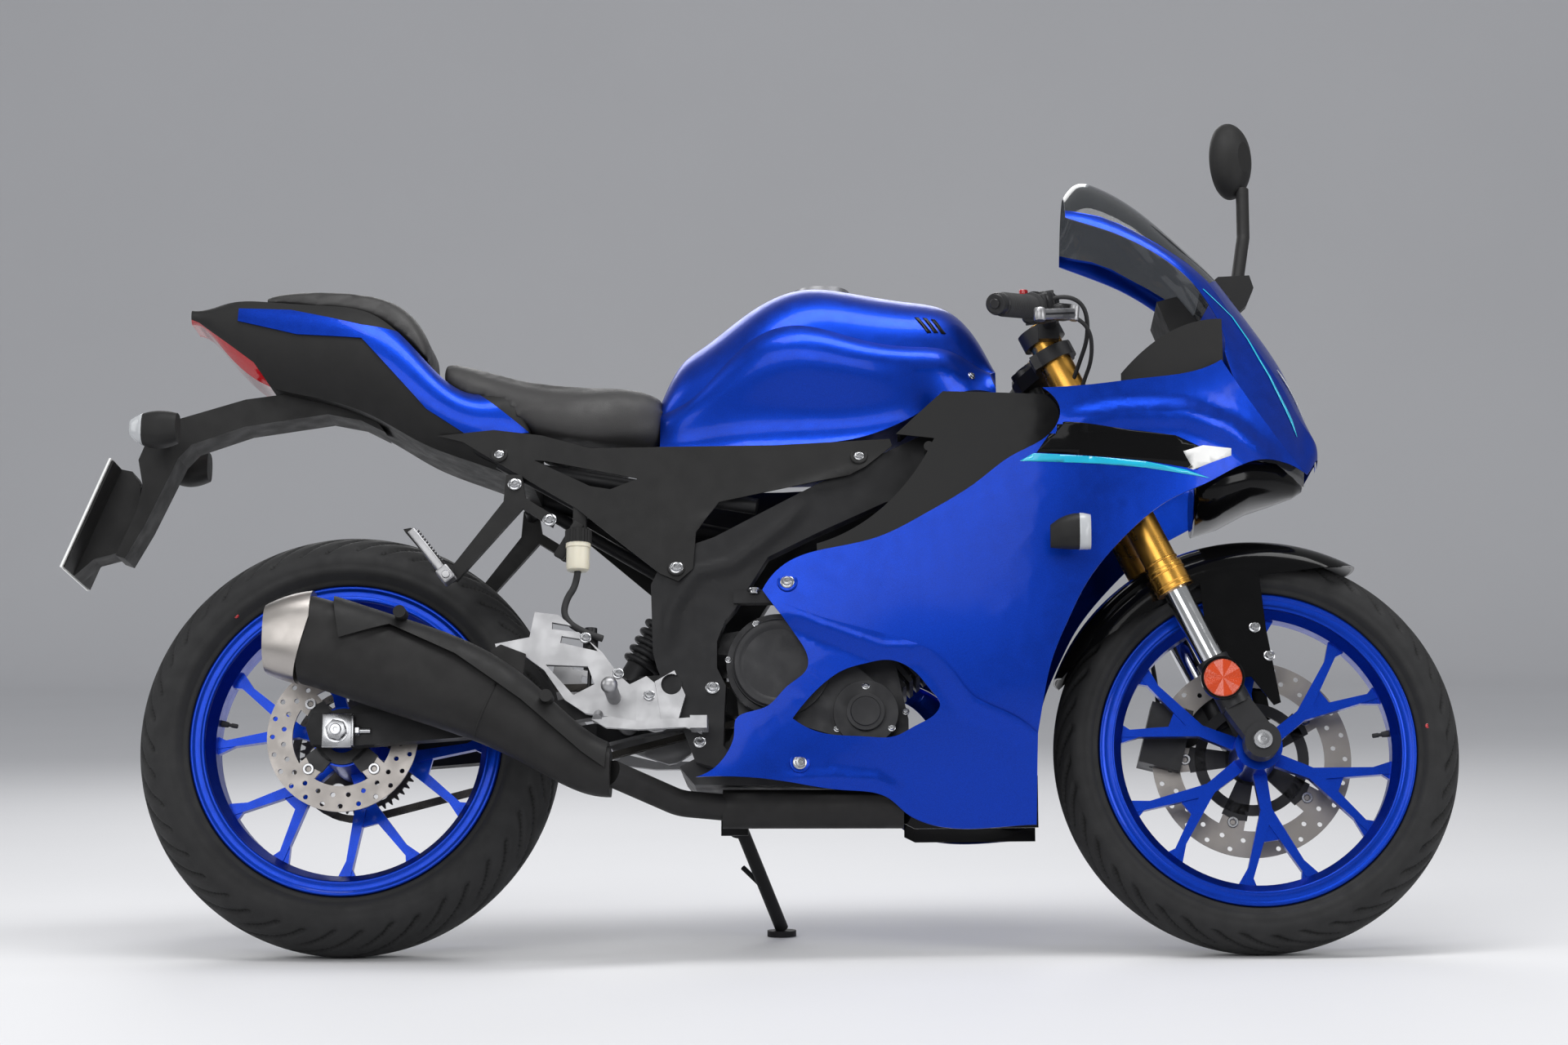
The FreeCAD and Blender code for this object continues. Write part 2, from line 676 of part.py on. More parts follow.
def swingarm():
    """Two arms joined by a cross tube, a pivot tube, and the rear axle with its adjusters."""
    axle = REAR_AXLE
    lift = axle.z - 311.0
    half = S.arm_gap / 2
    inner = 76.0
    outer = 105.0
    side = [
        (S.pivot_x + 26, S.pivot_z + 2), (S.pivot_x + 16, S.pivot_z + 24),
        (S.pivot_x - 50, S.pivot_z + 20), (S.pivot_x - 100, S.pivot_z - 6),
        (fx(-444), 337 + lift), (axle.x + 28, 338 + lift), (axle.x - 38, 338 + lift),
        (axle.x - 46, 316 + lift), (axle.x - 38, 292 + lift), (axle.x + 28, 290 + lift),
        (fx(-443), 304 + lift / 2), (S.pivot_x - 110, 330), (S.pivot_x - 20, S.pivot_z - 26),
        (S.pivot_x + 16, S.pivot_z - 20),
    ]
    plan = [
        (S.pivot_x + 30, inner), (S.pivot_x + 30, outer), (S.pivot_x - 50, outer),
        (S.pivot_x - 120, half + S.arm_width), (axle.x - 50, half + S.arm_width),
        (axle.x - 50, half), (S.pivot_x - 130, half), (S.pivot_x - 60, inner),
    ]
    arm = polygon_prism(side, 0, 200).common(plan_prism(plan, 0, 1000))
    slot = block((axle.x - 16, 0, axle.z - 9.2), (axle.x + 16, 200, axle.z + 9.2))
    arm = arm.cut(slot)
    both = [arm, mirrored(arm)]
    pivot = V(S.pivot_x, 0, S.pivot_z)
    reach = V(0, S.frame_half_width - 32.2, 0)
    both.append(tube(pivot - reach, pivot + reach, S.pivot_radius + 8, 8))
    brace = V(S.pivot_x - 80, 0, S.pivot_z - 14)
    both.append(cylinder(brace - V(0, inner + 10, 0), brace + V(0, inner + 10, 0), 20.0))
    tower = V(S.pivot_x - 72, 0, S.pivot_z + 22)
    both.append(polygon_prism([
        (brace.x - 18, brace.z), (tower.x - 16, tower.z), (tower.x + 16, tower.z),
        (brace.x + 20, brace.z),
    ], -14, 14))
    whole = fused(both)
    whole = whole.fuse(cylinder(
        axle - V(0, half + S.arm_width + 16, 0), axle + V(0, half + S.arm_width + 16, 0),
        S.rear_axle_radius,
    ))
    for sign in (-1, 1):
        face = half + S.arm_width
        plate = block((axle.x - 21, 0, axle.z - 24), (axle.x + 21, 5, axle.z + 24))
        plate.translate(V(0, face if sign > 0 else -face - 5, 0))
        nut = Part.makeCylinder(14.0, 9.0, axle + V(0, sign * (face + 5), 0), V(0, sign, 0))
        hub_end = S.rear_hub_width / 2
        near = hub_end + S.running_gap
        spacer = tube(
            axle + V(0, sign * near, 0), axle + V(0, sign * half, 0), 16.0,
            16.0 - S.rear_axle_radius,
        )
        whole = whole.fuse(plate).fuse(nut).fuse(spacer)
    whole = whole.cut(cylinder(pivot - reach * 2, pivot + reach * 2, S.pivot_radius))
    keep("swingarm", feature("swingarm", whole))


def rear_caliper():
    """A small caliper over the rear disc, carried by a plate that hangs on the axle."""
    centre = REAR_AXLE + V(92, 0, 62)
    side = -S.rear_disc_offset
    low = V(centre.x - 30, side - 18, centre.z - 22)
    body = block((low.x, side - 19, low.z), (low.x + 60, side + 15, low.z + 44))
    gap = S.disc_thickness / 2 + S.running_gap
    disc_room = cylinder(
        REAR_AXLE + V(0, side - gap, 0), REAR_AXLE + V(0, side + gap, 0),
        S.rear_disc_radius + 4,
    )
    body = body.cut(disc_room)
    bracket = polygon_prism([
        (REAR_AXLE.x - 16, REAR_AXLE.z - 14), (REAR_AXLE.x + 18, REAR_AXLE.z - 20),
        (centre.x + 34, centre.z - 22), (centre.x + 34, centre.z + 20),
        (centre.x + 6, centre.z + 22), (REAR_AXLE.x - 14, REAR_AXLE.z + 24),
    ], -S.arm_gap / 2 + 0.0, -S.arm_gap / 2 + 6.0)
    bracket = bracket.cut(cylinder(
        REAR_AXLE - V(0, 200, 0), REAR_AXLE + V(0, 200, 0), 16.2,
    ))
    keep("rear_caliper", feature("rear_caliper", fused([body, bracket])))


FRAME_CROSS = V(fx(-165.0), 0, 545.0)
FRAME_CROSS_RADIUS = 13.3


def rear_shock():
    """A coil spring and damper between the swingarm and the frame's cross tube."""
    low = V(S.pivot_x - 72, 0, S.pivot_z + 26.5)
    way = (FRAME_CROSS - low).normalize()
    high = FRAME_CROSS - way * (FRAME_CROSS_RADIUS + 0.3)
    body = fused([
        cylinder(low, high, 9.0),
        cylinder(low + way * 4, low + way * 30, 22.0),
        cylinder(high - way * 60, high - way * 6, 23.0),
    ])
    coils = [body]
    turns = 5
    first = 36.0
    last = (high - low).Length - 62.0
    for turn in range(turns):
        at = low + way * (first + (last - first) * turn / (turns - 1))
        coils.append(Part.makeTorus(26.0, 5.0, at, way))
    shape = coils[0]
    for coil in coils[1:]:
        shape = shape.fuse(coil)
    collar = cylinder(low + way * 30, high - way * 60, 21.5)
    keep("rear_shock", feature("rear_shock", shape.fuse(collar).cut(parts["swingarm"].Shape)))


# Frame and engine

STAND_PIVOT = V(fx(-98.0), 121.0, 210.0)
TREAD_DROP = S.rear_crown_radius * (1 / math.cos(LEAN) - 1)
STAND_FOOT = V(fx(-38.0), S.stand_reach, S.stand_reach * math.tan(LEAN) - TREAD_DROP)
STAND_STOWED = V(-0.97, 0.12, -0.2)


def stand_axis():
    way = (STAND_FOOT - STAND_PIVOT).normalize()
    return way.cross(STAND_STOWED).normalize()


PANEL_LUG = 6.0


def head_z(z):
    """The real height of a height drawn between the two fork clamps."""
    share = (z - DRAWN_LOW_CLAMP) / (DRAWN_TOP_CLAMP - DRAWN_LOW_CLAMP)
    return S.low_clamp_height + share * (S.top_clamp_height - S.low_clamp_height)


SPAR = [
    (406, head_z(700)), (424, head_z(722)), (372, head_z(826)), (350, head_z(822)), (198, 748), (28, 668), (-121, 590),
    (-190, 566), (-212, 520), (-208, 420), (-202, 398), (-171, 326), (-146, 262),
    (-96, 246), (-86, 258), (-106, 285), (-105, 331), (-103, 372), (-116, 398),
    (-116, 436), (-105, 466), (-90, 484), (-43, 560), (28, 595), (127, 640), (300, 668),
]


def stand_mount():
    """The left ear that carries the side stand's tilted pin."""
    axis = stand_axis()
    plate = block((fx(-122), 98, 190), (fx(-82), 106, 262))
    foot = block((fx(-122), 98, 244), (fx(-88), 116, 262))
    boss = cylinder(STAND_PIVOT - axis * 16, STAND_PIVOT - axis * 2.3, 15.0)
    pin = cylinder(STAND_PIVOT - axis * 16, STAND_PIVOT + axis * 20, 6.0)
    return fused([plate, foot, boss, pin])


def main_frame():
    """Two pressed spars from the steering head to the pivot plates, and the rear rails."""
    wide = S.frame_half_width
    spar = polygon_prism(drawn(SPAR), 0, wide + 1)
    plan = [
        (fx(430), 20), (fx(430), 42), (fx(335), 58), (fx(280), 90), (fx(215), wide - 4),
        (fx(120), wide), (fx(-260), wide), (fx(-260), wide - 30), (fx(190), wide - 30),
        (fx(250), 70), (fx(320), 20),
    ]
    spar = spar.common(plan_prism(plan, 0, 1200))
    head_low = on_steering(S.low_clamp_height + 24)
    head_high = on_steering(S.top_clamp_height - 24)
    pieces = [spar, mirrored(spar), cylinder(head_low, head_high, S.head_radius)]
    for sign in (-1, 1):
        near, far = sorted((sign * (wide - 12), sign * (wide + PANEL_LUG)))
        pieces.append(block((fx(-92), near, 491), (fx(-22), far, 509)))
    across = V(0, wide - 6, 0)
    pieces.append(cylinder(FRAME_CROSS - across, FRAME_CROSS + across, FRAME_CROSS_RADIUS))
    for sign in (-1, 1):
        rail = swept_tube([
            V(fx(-60), sign * 118, 640), V(fx(-380), sign * 96, 700),
            V(fx(-800), sign * 40, 880),
        ], 12.0, 90.0)
        strut = cylinder(V(fx(-170), sign * 118, 560), V(fx(-440), sign * 92, 716), 10.0)
        pieces += [rail, strut]
    for x, z, y in ((-440, 726, 92), (-700, 836, 58)):
        pieces.append(cylinder(V(fx(x), -y, z), V(fx(x), y, z), 9.0))
    pivot = V(S.pivot_x, 0, S.pivot_z)
    for sign in (-1, 1):
        pieces.append(Part.makeCylinder(
            24.0, 30.0, pivot + V(0, sign * (wide - 31), 0), V(0, sign, 0),
        ))
    whole = fused(pieces)
    whole = whole.cut(cylinder(
        head_low - STEER_UP, head_high + STEER_UP, S.stem_radius + S.axle_clearance
    ))
    whole = whole.fuse(cylinder(
        pivot - V(0, wide + 4, 0), pivot + V(0, wide + 4, 0), S.pivot_radius - 0.4,
    ))
    whole = whole.fuse(stand_mount())
    keep("main_frame", feature("main_frame", whole.removeSplitter()))


def engine():
    """A closed single-cylinder engine: crankcase, covers on both sides, finned barrel."""
    half = 92.0
    case = [
        (-172, 262), (-150, 236), (120, 232), (150, 262), (158, 330), (140, 410),
        (90, 446), (-20, 470), (-78, 462), (-96, 420), (-86, 330), (-100, 300),
    ]
    pieces = [polygon_prism(drawn(case), -half, half)]
    lug = [(-134, 427), (-134, 453), (-78, 462), (-78, 424)]
    pieces.append(polygon_prism(drawn(lug), -half, half))
    bore_way = V(math.cos(math.radians(40)), 0, math.sin(math.radians(40)))
    foot = V(fx(80), 0, 400)
    for fin in range(9):
        at = foot + bore_way * (18 + fin * 13)
        plate = Part.makeBox(7, 128, 120, V(-3.5, -64, -60))
        plate.rotate(V(0, 0, 0), V(0, 1, 0), -40)
        plate.translate(at)
        pieces.append(plate)
    barrel = Part.makeBox(200, 96, 100, V(0, -48, -50))
    barrel.rotate(V(0, 0, 0), V(0, 1, 0), -40)
    barrel.translate(foot)
    pieces.append(barrel)
    cam = Part.makeBox(44, 124, 112, V(140, -62, -56))
    cam.rotate(V(0, 0, 0), V(0, 1, 0), -40)
    cam.translate(foot)
    pieces.append(cam)
    clutch = V(fx(-28), -half, 404)
    pump = V(fx(97), -half, 335)
    stator = V(fx(40), half, 350)
    for centre, radius, depth, way in (
        (clutch, 74, 34, -1), (clutch, 66, 46, -1), (pump, 46, 30, -1), (pump, 27, 40, -1),
        (stator, 72, 26, 1), (stator, 58, 36, 1),
    ):
        pieces.append(Part.makeCylinder(radius, depth, centre, V(0, way, 0)))
    link = [(-92, 372), (-40, 330), (60, 300), (140, 318), (120, 372), (40, 440), (-20, 474)]
    pieces.append(polygon_prism(drawn(link), -half - 26, -half))
    drive = V(DRIVE_CENTRE.x, 0, DRIVE_CENTRE.z)
    small = pitch_radius(S.drive_teeth)
    chord_dip = S.chain_pitch ** 2 / (8 * small)
    root = small - S.plate_height / 2 - chord_dip - 0.3
    pieces.append(cylinder(drive + V(0, 60, 0), drive + V(0, S.chain_plane + 3, 0), root))
    room = cylinder(
        drive + V(0, S.chain_plane - 9, 0), drive + V(0, S.chain_plane + 9, 0),
        root + S.plate_height + 3,
    ).cut(cylinder(
        drive + V(0, S.chain_plane - 10, 0), drive + V(0, S.chain_plane + 10, 0), root,
    ))
    whole = fused(pieces).cut(room)
    for sign in (-1, 1):
        for x, z in ((-124, 440), (-104, 272)):
            whole = whole.fuse(Part.makeCylinder(
                9.0, S.frame_half_width - 30 - half + 12,
                V(fx(x), sign * (half - 12), z), V(0, sign, 0),
            ))
    keep("engine", feature("engine", whole.removeSplitter()))


def radiator():
    """A finned core behind the front wheel, with a tank at each end."""
    low = V(fx(284), 0, 462)
    high = V(fx(254), 0, 640)
    depth = 26.0
    core = polygon_prism([
        (low.x, low.z), (low.x + depth, low.z + 4), (high.x + depth, high.z + 4),
        (high.x, high.z),
    ], -96, 96)
    ends = [polygon_prism([
        (low.x - 3, low.z - 2), (low.x + depth + 3, low.z + 2),
        (high.x + depth + 3, high.z + 6), (high.x - 3, high.z + 2),
    ], *limits) for limits in ((-114, -94), (94, 114))]
    arms = [
        block((high.x - 6, sign * 92 - 6, high.z - 20), (high.x + 10, sign * 92 + 6, 690))
        for sign in (-1, 1)
    ]
    whole = fused([core] + ends + arms).cut(parts["main_frame"].Shape)
    keep("radiator", feature("radiator", biggest(whole)))


def oval_wire(x, y, z, half_y, half_z, power=2.6, count=16):
    """A closed rounded section across the bike."""
    points = []
    for step in range(count):
        angle = 2 * math.pi * step / count
        cos, sin = math.cos(angle), math.sin(angle)
        points.append(V(
            x,
            y + half_y * math.copysign(abs(cos) ** (2 / power), cos),
            z + half_z * math.copysign(abs(sin) ** (2 / power), sin),
        ))
    curve = Part.BSplineCurve()
    curve.interpolate(points, PeriodicFlag=True)
    return Part.Wire([curve.toShape()])


MUFFLER_CORE = [
    (-262, 238, 30, 34), (-300, 252, 34, 42), (-400, 320, 44, 60), (-520, 374, 48, 66),
    (-640, 414, 48, 66), (-708, 434, 47, 64),
]


def muffler_loft(grow):
    wires = [
        oval_wire(fx(x), -S.muffler_offset, z, hy * S.muffler_width / 96 + grow,
                  hz * S.muffler_height / 128 + grow)
        for x, z, hy, hz in MUFFLER_CORE
    ]
    return Part.makeLoft(wires, True, False)


def exhaust():
    """Header, box under the engine and the silencer with its cover and bright end."""
    side = -S.muffler_offset
    pipe = swept_tube([
        V(fx(196), 0, 470), V(fx(246), -14, 430), V(fx(244), -40, 246), V(fx(120), -62, 204),
    ], S.pipe_radius, 30.0)
    box = cylinder(V(fx(150), -62, 204), V(fx(-110), -68, 204), S.catalyst_radius)
    tail = swept_tube([
        V(fx(-80), -67, 204), V(fx(-170), -100, 208), V(fx(-262), side, 238),
    ], S.pipe_radius, 60.0)
    outline = polygon_prism(drawn([
        (-262, 120), (-262, 500), (-660, 520), (-712, 520), (-690, 465), (-716, 372),
        (-740, 300), (-600, 200),
    ]), side - 90, side + 90)
    can = muffler_loft(0).common(outline)
    strap = polygon_prism(drawn([
        (-440, 352), (-396, 352), (-388, 414), (-424, 428), (-438, 420),
    ]), -S.frame_half_width - 30, -S.frame_half_width - 24)
    keep("muffler", feature("muffler", can.fuse(strap).removeSplitter()))
    header = fused([pipe, box, tail]).cut(parts["engine"].Shape).cut(can)
    keep("exhaust_pipe", feature("exhaust_pipe", biggest(header)))
    cap_wires = [
        oval_wire(fx(x), side, z, hy, hz) for x, z, hy, hz in (
            (-690, 434, 50, 68), (-722, 434, 49, 62), (-756, 433, 45, 49),
        )
    ]
    cap = Part.makeLoft(cap_wires, True, False)
    bound = polygon_prism(drawn([
        (-690, 520), (-688, 465), (-714, 372), (-712, 340), (-772, 360), (-772, 500),
    ]), side - 90, side + 90)
    cap = cap.common(bound).cut(can)
    outlet = cylinder(V(fx(-800), side, 428), V(fx(-722), side, 428), 17.0)
    keep("muffler_cap", feature("muffler_cap", cap.cut(outlet)))
    shield = muffler_loft(8).cut(muffler_loft(4.0))
    band = polygon_prism(drawn([
        (-691, 510), (-660, 500), (-645, 425), (-575, 446), (-480, 402), (-386, 336),
        (-300, 262), (-268, 240), (-262, 320), (-386, 420), (-560, 520),
    ]), side - 90, side + 20)
    cover = shield.common(band)
    solids = sorted(cover.Solids, key=lambda s: -s.Volume)
    cover = solids[0]
    for x, z in ((-560, 462), (-350, 340)):
        cover = cover.fuse(Part.makeCylinder(
            9.0, 30.0, V(fx(x), side - 54, z), V(0, 1, 0),
        ).cut(can))
    solids = sorted(cover.Solids, key=lambda s: -s.Volume)
    keep("muffler_cover", feature("muffler_cover", solids[0]))

# Painted panels. A profile runs up one side, from its low edge to its high one, and is
# given as (half-width, height) pairs at a station along the bike.

SIDE_HEIGHTS = (140, 240, 330, 420, 510, 600, 690, 760, 850, 920)
SIDE_WIDTHS = [
    (-170, (124, 147, 151, 154, 156, 158, 160, 160, 160, 160)),
    (0, (96, 136, 150, 159, 165, 170, 174, 178, 180, 180)),
    (150, (66, 118, 145, 162, 174, 184, 192, 196, 196, 194)),
    (300, (60, 112, 145, 166, 179, 191, 201, 205, 203, 197)),
    (430, (56, 100, 130, 154, 170, 184, 196, 200, 194, 184)),
    (540, (48, 84, 104, 124, 138, 152, 170, 178, 168, 156)),
    (640, (36, 56, 70, 82, 94, 108, 126, 138, 132, 122)),
    (700, (26, 32, 38, 46, 56, 68, 84, 98, 98, 90)),
    (760, (4, 6, 8, 12, 18, 26, 38, 50, 54, 48)),
]

FAIRING_TOP = [(354, 792), (427, 798), (498, 810), (581, 829), (617, 849)]
FAIRING_FRONT = [(617, 849), (650, 800), (690, 752), (743, 700)]
FAIRING_ARCH = [
    (743, 700), (687, 709), (651, 699), (591, 664), (543, 640), (501, 610), (459, 569),
    (412, 509), (388, 462), (363, 403), (349, 340), (342, 300),
]
SEAM = [
    (330, 310), (281, 336), (249, 353), (227, 379), (196, 412), (163, 428), (98, 448),
    (29, 467), (-50, 507),
]
FAIRING_BACK = [
    (-50, 507), (17, 559), (52, 566), (115, 579), (187, 613), (262, 658), (308, 692),
    (367, 728), (376, 743), (354, 792),
]
LOWER_BACK = [
    (-50, 507), (-17, 462), (1, 436), (15, 409), (15, 396), (-15, 367), (-45, 338),
    (-88, 319), (-90, 298), (-96, 279), (-144, 238),
]
LOWER_EDGE = [
    (-144, 238), (-32, 235), (65, 223), (130, 212), (155, 192), (178, 181), (280, 174),
    (340, 178),
]
WINDOW = [
    (-7, 322), (44, 377), (67, 391), (99, 400), (128, 404), (147, 400), (169, 386),
    (192, 359), (203, 339), (198, 330), (168, 312), (140, 298), (98, 297), (34, 302),
]


def side_surface(grow=0.0):
    """The whole left side as one thin shell."""
    stations = []
    for x, widths in SIDE_WIDTHS:
        scale = S.fairing_half_width / 205.0
        run = [(y * scale + grow, z) for y, z in zip(widths, SIDE_HEIGHTS)]
        stations.append((fx(x), [run]))
    return panel_skin(stations, S.shell_wall)


def side_core(shrink=0.0):
    """All the room inside the left side surface, back to the middle of the bike."""
    wires = []
    for x, widths in SIDE_WIDTHS:
        scale = S.fairing_half_width / 205.0
        run = [V(fx(x), y * scale - shrink, z) for y, z in zip(widths, SIDE_HEIGHTS)]
        low = V(fx(x), -0.5, run[0].z)
        high = V(fx(x), -0.5, run[-1].z)
        wires.append(Part.Wire([
            smooth_edge(run), Part.makeLine(run[-1], high), Part.makeLine(high, low),
            Part.makeLine(low, run[0]),
        ]))
    return Part.makeLoft(wires, True, False)


def peg(core, x, z, start, radius=7.0):
    """A mounting peg from y = start out to the panel's painted face."""
    return Part.makeCylinder(radius, 300.0, V(fx(x), start, z), V(0, 1, 0)).common(core)


def side_fairings():
    """The painted side panels: an upper one and a lower one that meet along a seam."""
    skin = side_surface()
    upper = side_prism(drawn_runs([
        FAIRING_TOP, FAIRING_FRONT, FAIRING_ARCH, [(342, 300), SEAM[0]], SEAM, FAIRING_BACK,
    ]), 0, 260)
    lower = side_prism(drawn_runs([
        LOWER_BACK, LOWER_EDGE, [(340, 178), (342, 300)], [(342, 300), SEAM[0]], SEAM,
    ]), 0, 260)
    window = side_prism(drawn_runs([WINDOW + WINDOW[:1]]), 0, 260)
    face = S.frame_half_width
    core = side_core(0.4)
    upper_panel = fused([
        skin.common(upper), peg(core, -30, 500, face + PANEL_LUG), peg(core, 296, 540, 114.0),
    ])
    lower_panel = fused([skin.common(lower).cut(window), peg(core, -60, 262, 92.0)])
    lower_panel = biggest(lower_panel.cut(upper_panel))
    both_in_one("side_fairings_upper", upper_panel)
    both_in_one("side_fairings_lower", lower_panel)


def both_in_one(label, shape):
    """One node with a left and a right piece that don't touch."""
    shape = shape.removeSplitter()
    solids = shape.Solids
    keep(label, feature(label, Part.makeCompound(solids + [mirrored(s) for s in solids])))


def inner_fairings():
    """Gloss panels that close the space between the tank, the frame and the fairing."""
    stations = []
    for x, widths in SIDE_WIDTHS[:5]:
        run = [(y * S.fairing_half_width / 205.0 - 12, z) for y, z in zip(widths, SIDE_HEIGHTS)]
        stations.append((fx(x), [run]))
    skin = panel_skin(stations, S.shell_wall)
    outline = side_prism(drawn_runs([
        [(143, 731), (211, 792)], [(211, 792), (366, 785)], [(366, 785), (392, 740)],
        [(392, 740), (330, 690), (270, 640), (186, 590), (114, 556), (30, 540)],
        [(30, 540), (28, 575)], [(28, 575), (98, 606), (151, 652), (198, 723)],
        [(198, 723), (143, 731)],
    ]), 0, 260)
    shelf = polygon_prism(drawn([
        (145, 731), (212, 791), (366, 784), (366, 781), (213, 788), (149, 731),
    ]), S.frame_half_width - 4, 260).common(side_core(13.0))
    shelf = shelf.cut(parts["tank_cover"].Shape)
    foot = peg(side_core(12.4), 190, 712, S.frame_half_width - 12)
    panel = skin.common(outline).fuse(shelf).fuse(foot.cut(parts["main_frame"].Shape))
    both_in_one("inner_fairings", biggest(panel))


NOSE = [
    (395, (128, 1062), (112, 1090), 1138), (445, (130, 1050), (114, 1078), 1158),
    (475, (131, 1040), (114, 1066), 1142), (532, (132, 1010), (116, 1032), 1096),
    (573, (132, 975), (114, 1003), 1054), (608, (131, 912), (111, 968), 1020),
    (640, (135, 808), (104, 922), 980), (684, (109, 755), (92, 862), 918),
    (722, (72, 714), (66, 806), 856), (745, (50, 698), (44, 772), 798),
    (764, (13, 716), (9, 730), 738),
]


def nose_profile(lower, shoulder, crest, grow=0.0):
    (yl, zl), (ys, zs) = lower, shoulder
    yl, ys = yl + grow, ys + grow
    up = [(yl, zl), ((yl + ys) / 2 + 3, (zl + zs) / 2), (ys, zs)]
    over = [
        (ys, zs), (ys * 0.62, zs + (crest - zs) * 0.66), (0, crest),
        (-ys * 0.62, zs + (crest - zs) * 0.66), (-ys, zs),
    ]
    down = [(-y, z) for y, z in reversed(up)]
    return [up, over, down]


def nose():
    """The front cowl and the screen that it carries, cut from one shell."""
    skin = panel_skin([(fx(x), nose_profile(a, b, c)) for x, a, b, c in NOSE], S.shell_wall)
    screen_room = polygon_prism(drawn([
        (380, 1092), (445, 1079), (475, 1067), (532, 1034), (573, 1006), (606, 976),
        (700, 1100), (700, 1250), (380, 1250),
    ]), -200, 200)
    cowl_room = side_prism(drawn_runs([
        [(392, 1076), (430, 1062), (473, 1045), (532, 1011), (573, 976), (608, 926), (624, 876), (617, 849)],
        FAIRING_FRONT,
        [(743, 700), (764, 690)],
        [(764, 690), (800, 690)], [(800, 690), (800, 1250)], [(800, 1250), (392, 1250)],
        [(392, 1250), (392, 1076)],
    ]), -220, 220)
    cowl = skin.cut(screen_room).common(cowl_room)
    screen = skin.common(screen_room)
    cowl = biggest(cowl)
    screen = biggest(screen)
    keep("front_cowl", feature("front_cowl", cowl))
    keep("windscreen", feature("windscreen", screen))


def cockpit():
    """Dark trim beside the steering, the dash on its stay, and the lamp under the nose."""
    trim = solid_band([
        (fx(470), [(150, 800), (154, 826)]), (fx(560), [(146, 822), (142, 900)]),
        (fx(620), [(132, 846), (128, 915)]),
    ], 3.0)
    bridge = block((fx(596), -132, 872), (fx(608), 132, 890))
    core = side_core(S.shell_wall + 0.2)
    tie = Part.makeCylinder(8.0, 400.0, V(fx(578), -200, 784), V(0, 1, 0))
    tie = tie.common(fused([core, mirrored(core)]))
    stay = fused([
        tie,
        polygon_prism([
            (on_steering(766).x + 26, 756), (on_steering(766).x + 34, 744),
            (fx(560), 776), (fx(640), 800), (fx(640), 816), (fx(556), 792),
        ], -16, 16),
        block((fx(604), -16, 800), (fx(616), 16, 872.5)),
        block((fx(560), -12, 786), (fx(572), 12, 960)),
    ])
    stay = biggest(stay.cut(parts["main_frame"].Shape))
    keep("front_stay", feature("front_stay", stay))
    trims = fused([trim, mirrored(trim), bridge]).cut(stay).cut(parts["front_cowl"].Shape)
    keep("cockpit_trim", feature("cockpit_trim", biggest(trims)))
    dash = polygon_prism(drawn([
        (530, 958), (560, 966), (588, 930), (576, 906), (548, 912),
    ]), -74, 74)
    dash = biggest(dash.cut(stay))
    keep("dash", feature("dash", dash))
    lamp = solid_skin([
        (fx(600), [(40, 700), (78, 720), (78, 772), (50, 800)]),
        (fx(660), [(36, 690), (66, 705), (66, 765), (46, 800)]),
        (fx(715), [(22, 690), (40, 700), (44, 745), (30, 790)]),
        (fx(745), [(8, 690), (14, 698), (18, 715), (12, 735)]),
    ])
    keep("headlamp", feature("headlamp", biggest(lamp.cut(stay))))


def solid_band(stations, wall):
    """A thin panel through straight-sided profiles."""
    return Part.makeLoft(
        [section_wire(x, [profile], wall) for x, profile in stations], True, False
    )


TANK = [
    (-205, 826, (74, 790), (79, 775), (80, 755), (85, 735)),
    (-150, 905, (100, 815), (104, 795), (99, 765), (105, 724)),
    (-75, 957, (128, 884), (137, 840), (116, 765), (122, 726)),
    (0, 990, (139, 908), (156, 850), (126, 770), (130, 730)),
    (80, 985, (142, 888), (160, 845), (136, 780), (136, 736)),
    (160, 972, (136, 875), (152, 840), (142, 796), (137, 765)),
    (225, 957, (110, 874), (126, 848), (128, 822), (125, 803)),
    (290, 862, (75, 850), (90, 838), (95, 825), (95, 812)),
]


STEER_LIMIT = 30.0
CLAMP_WALL = 9.0
CLAMP_CORNER = 3.0
MOVING_GAP = 5.6


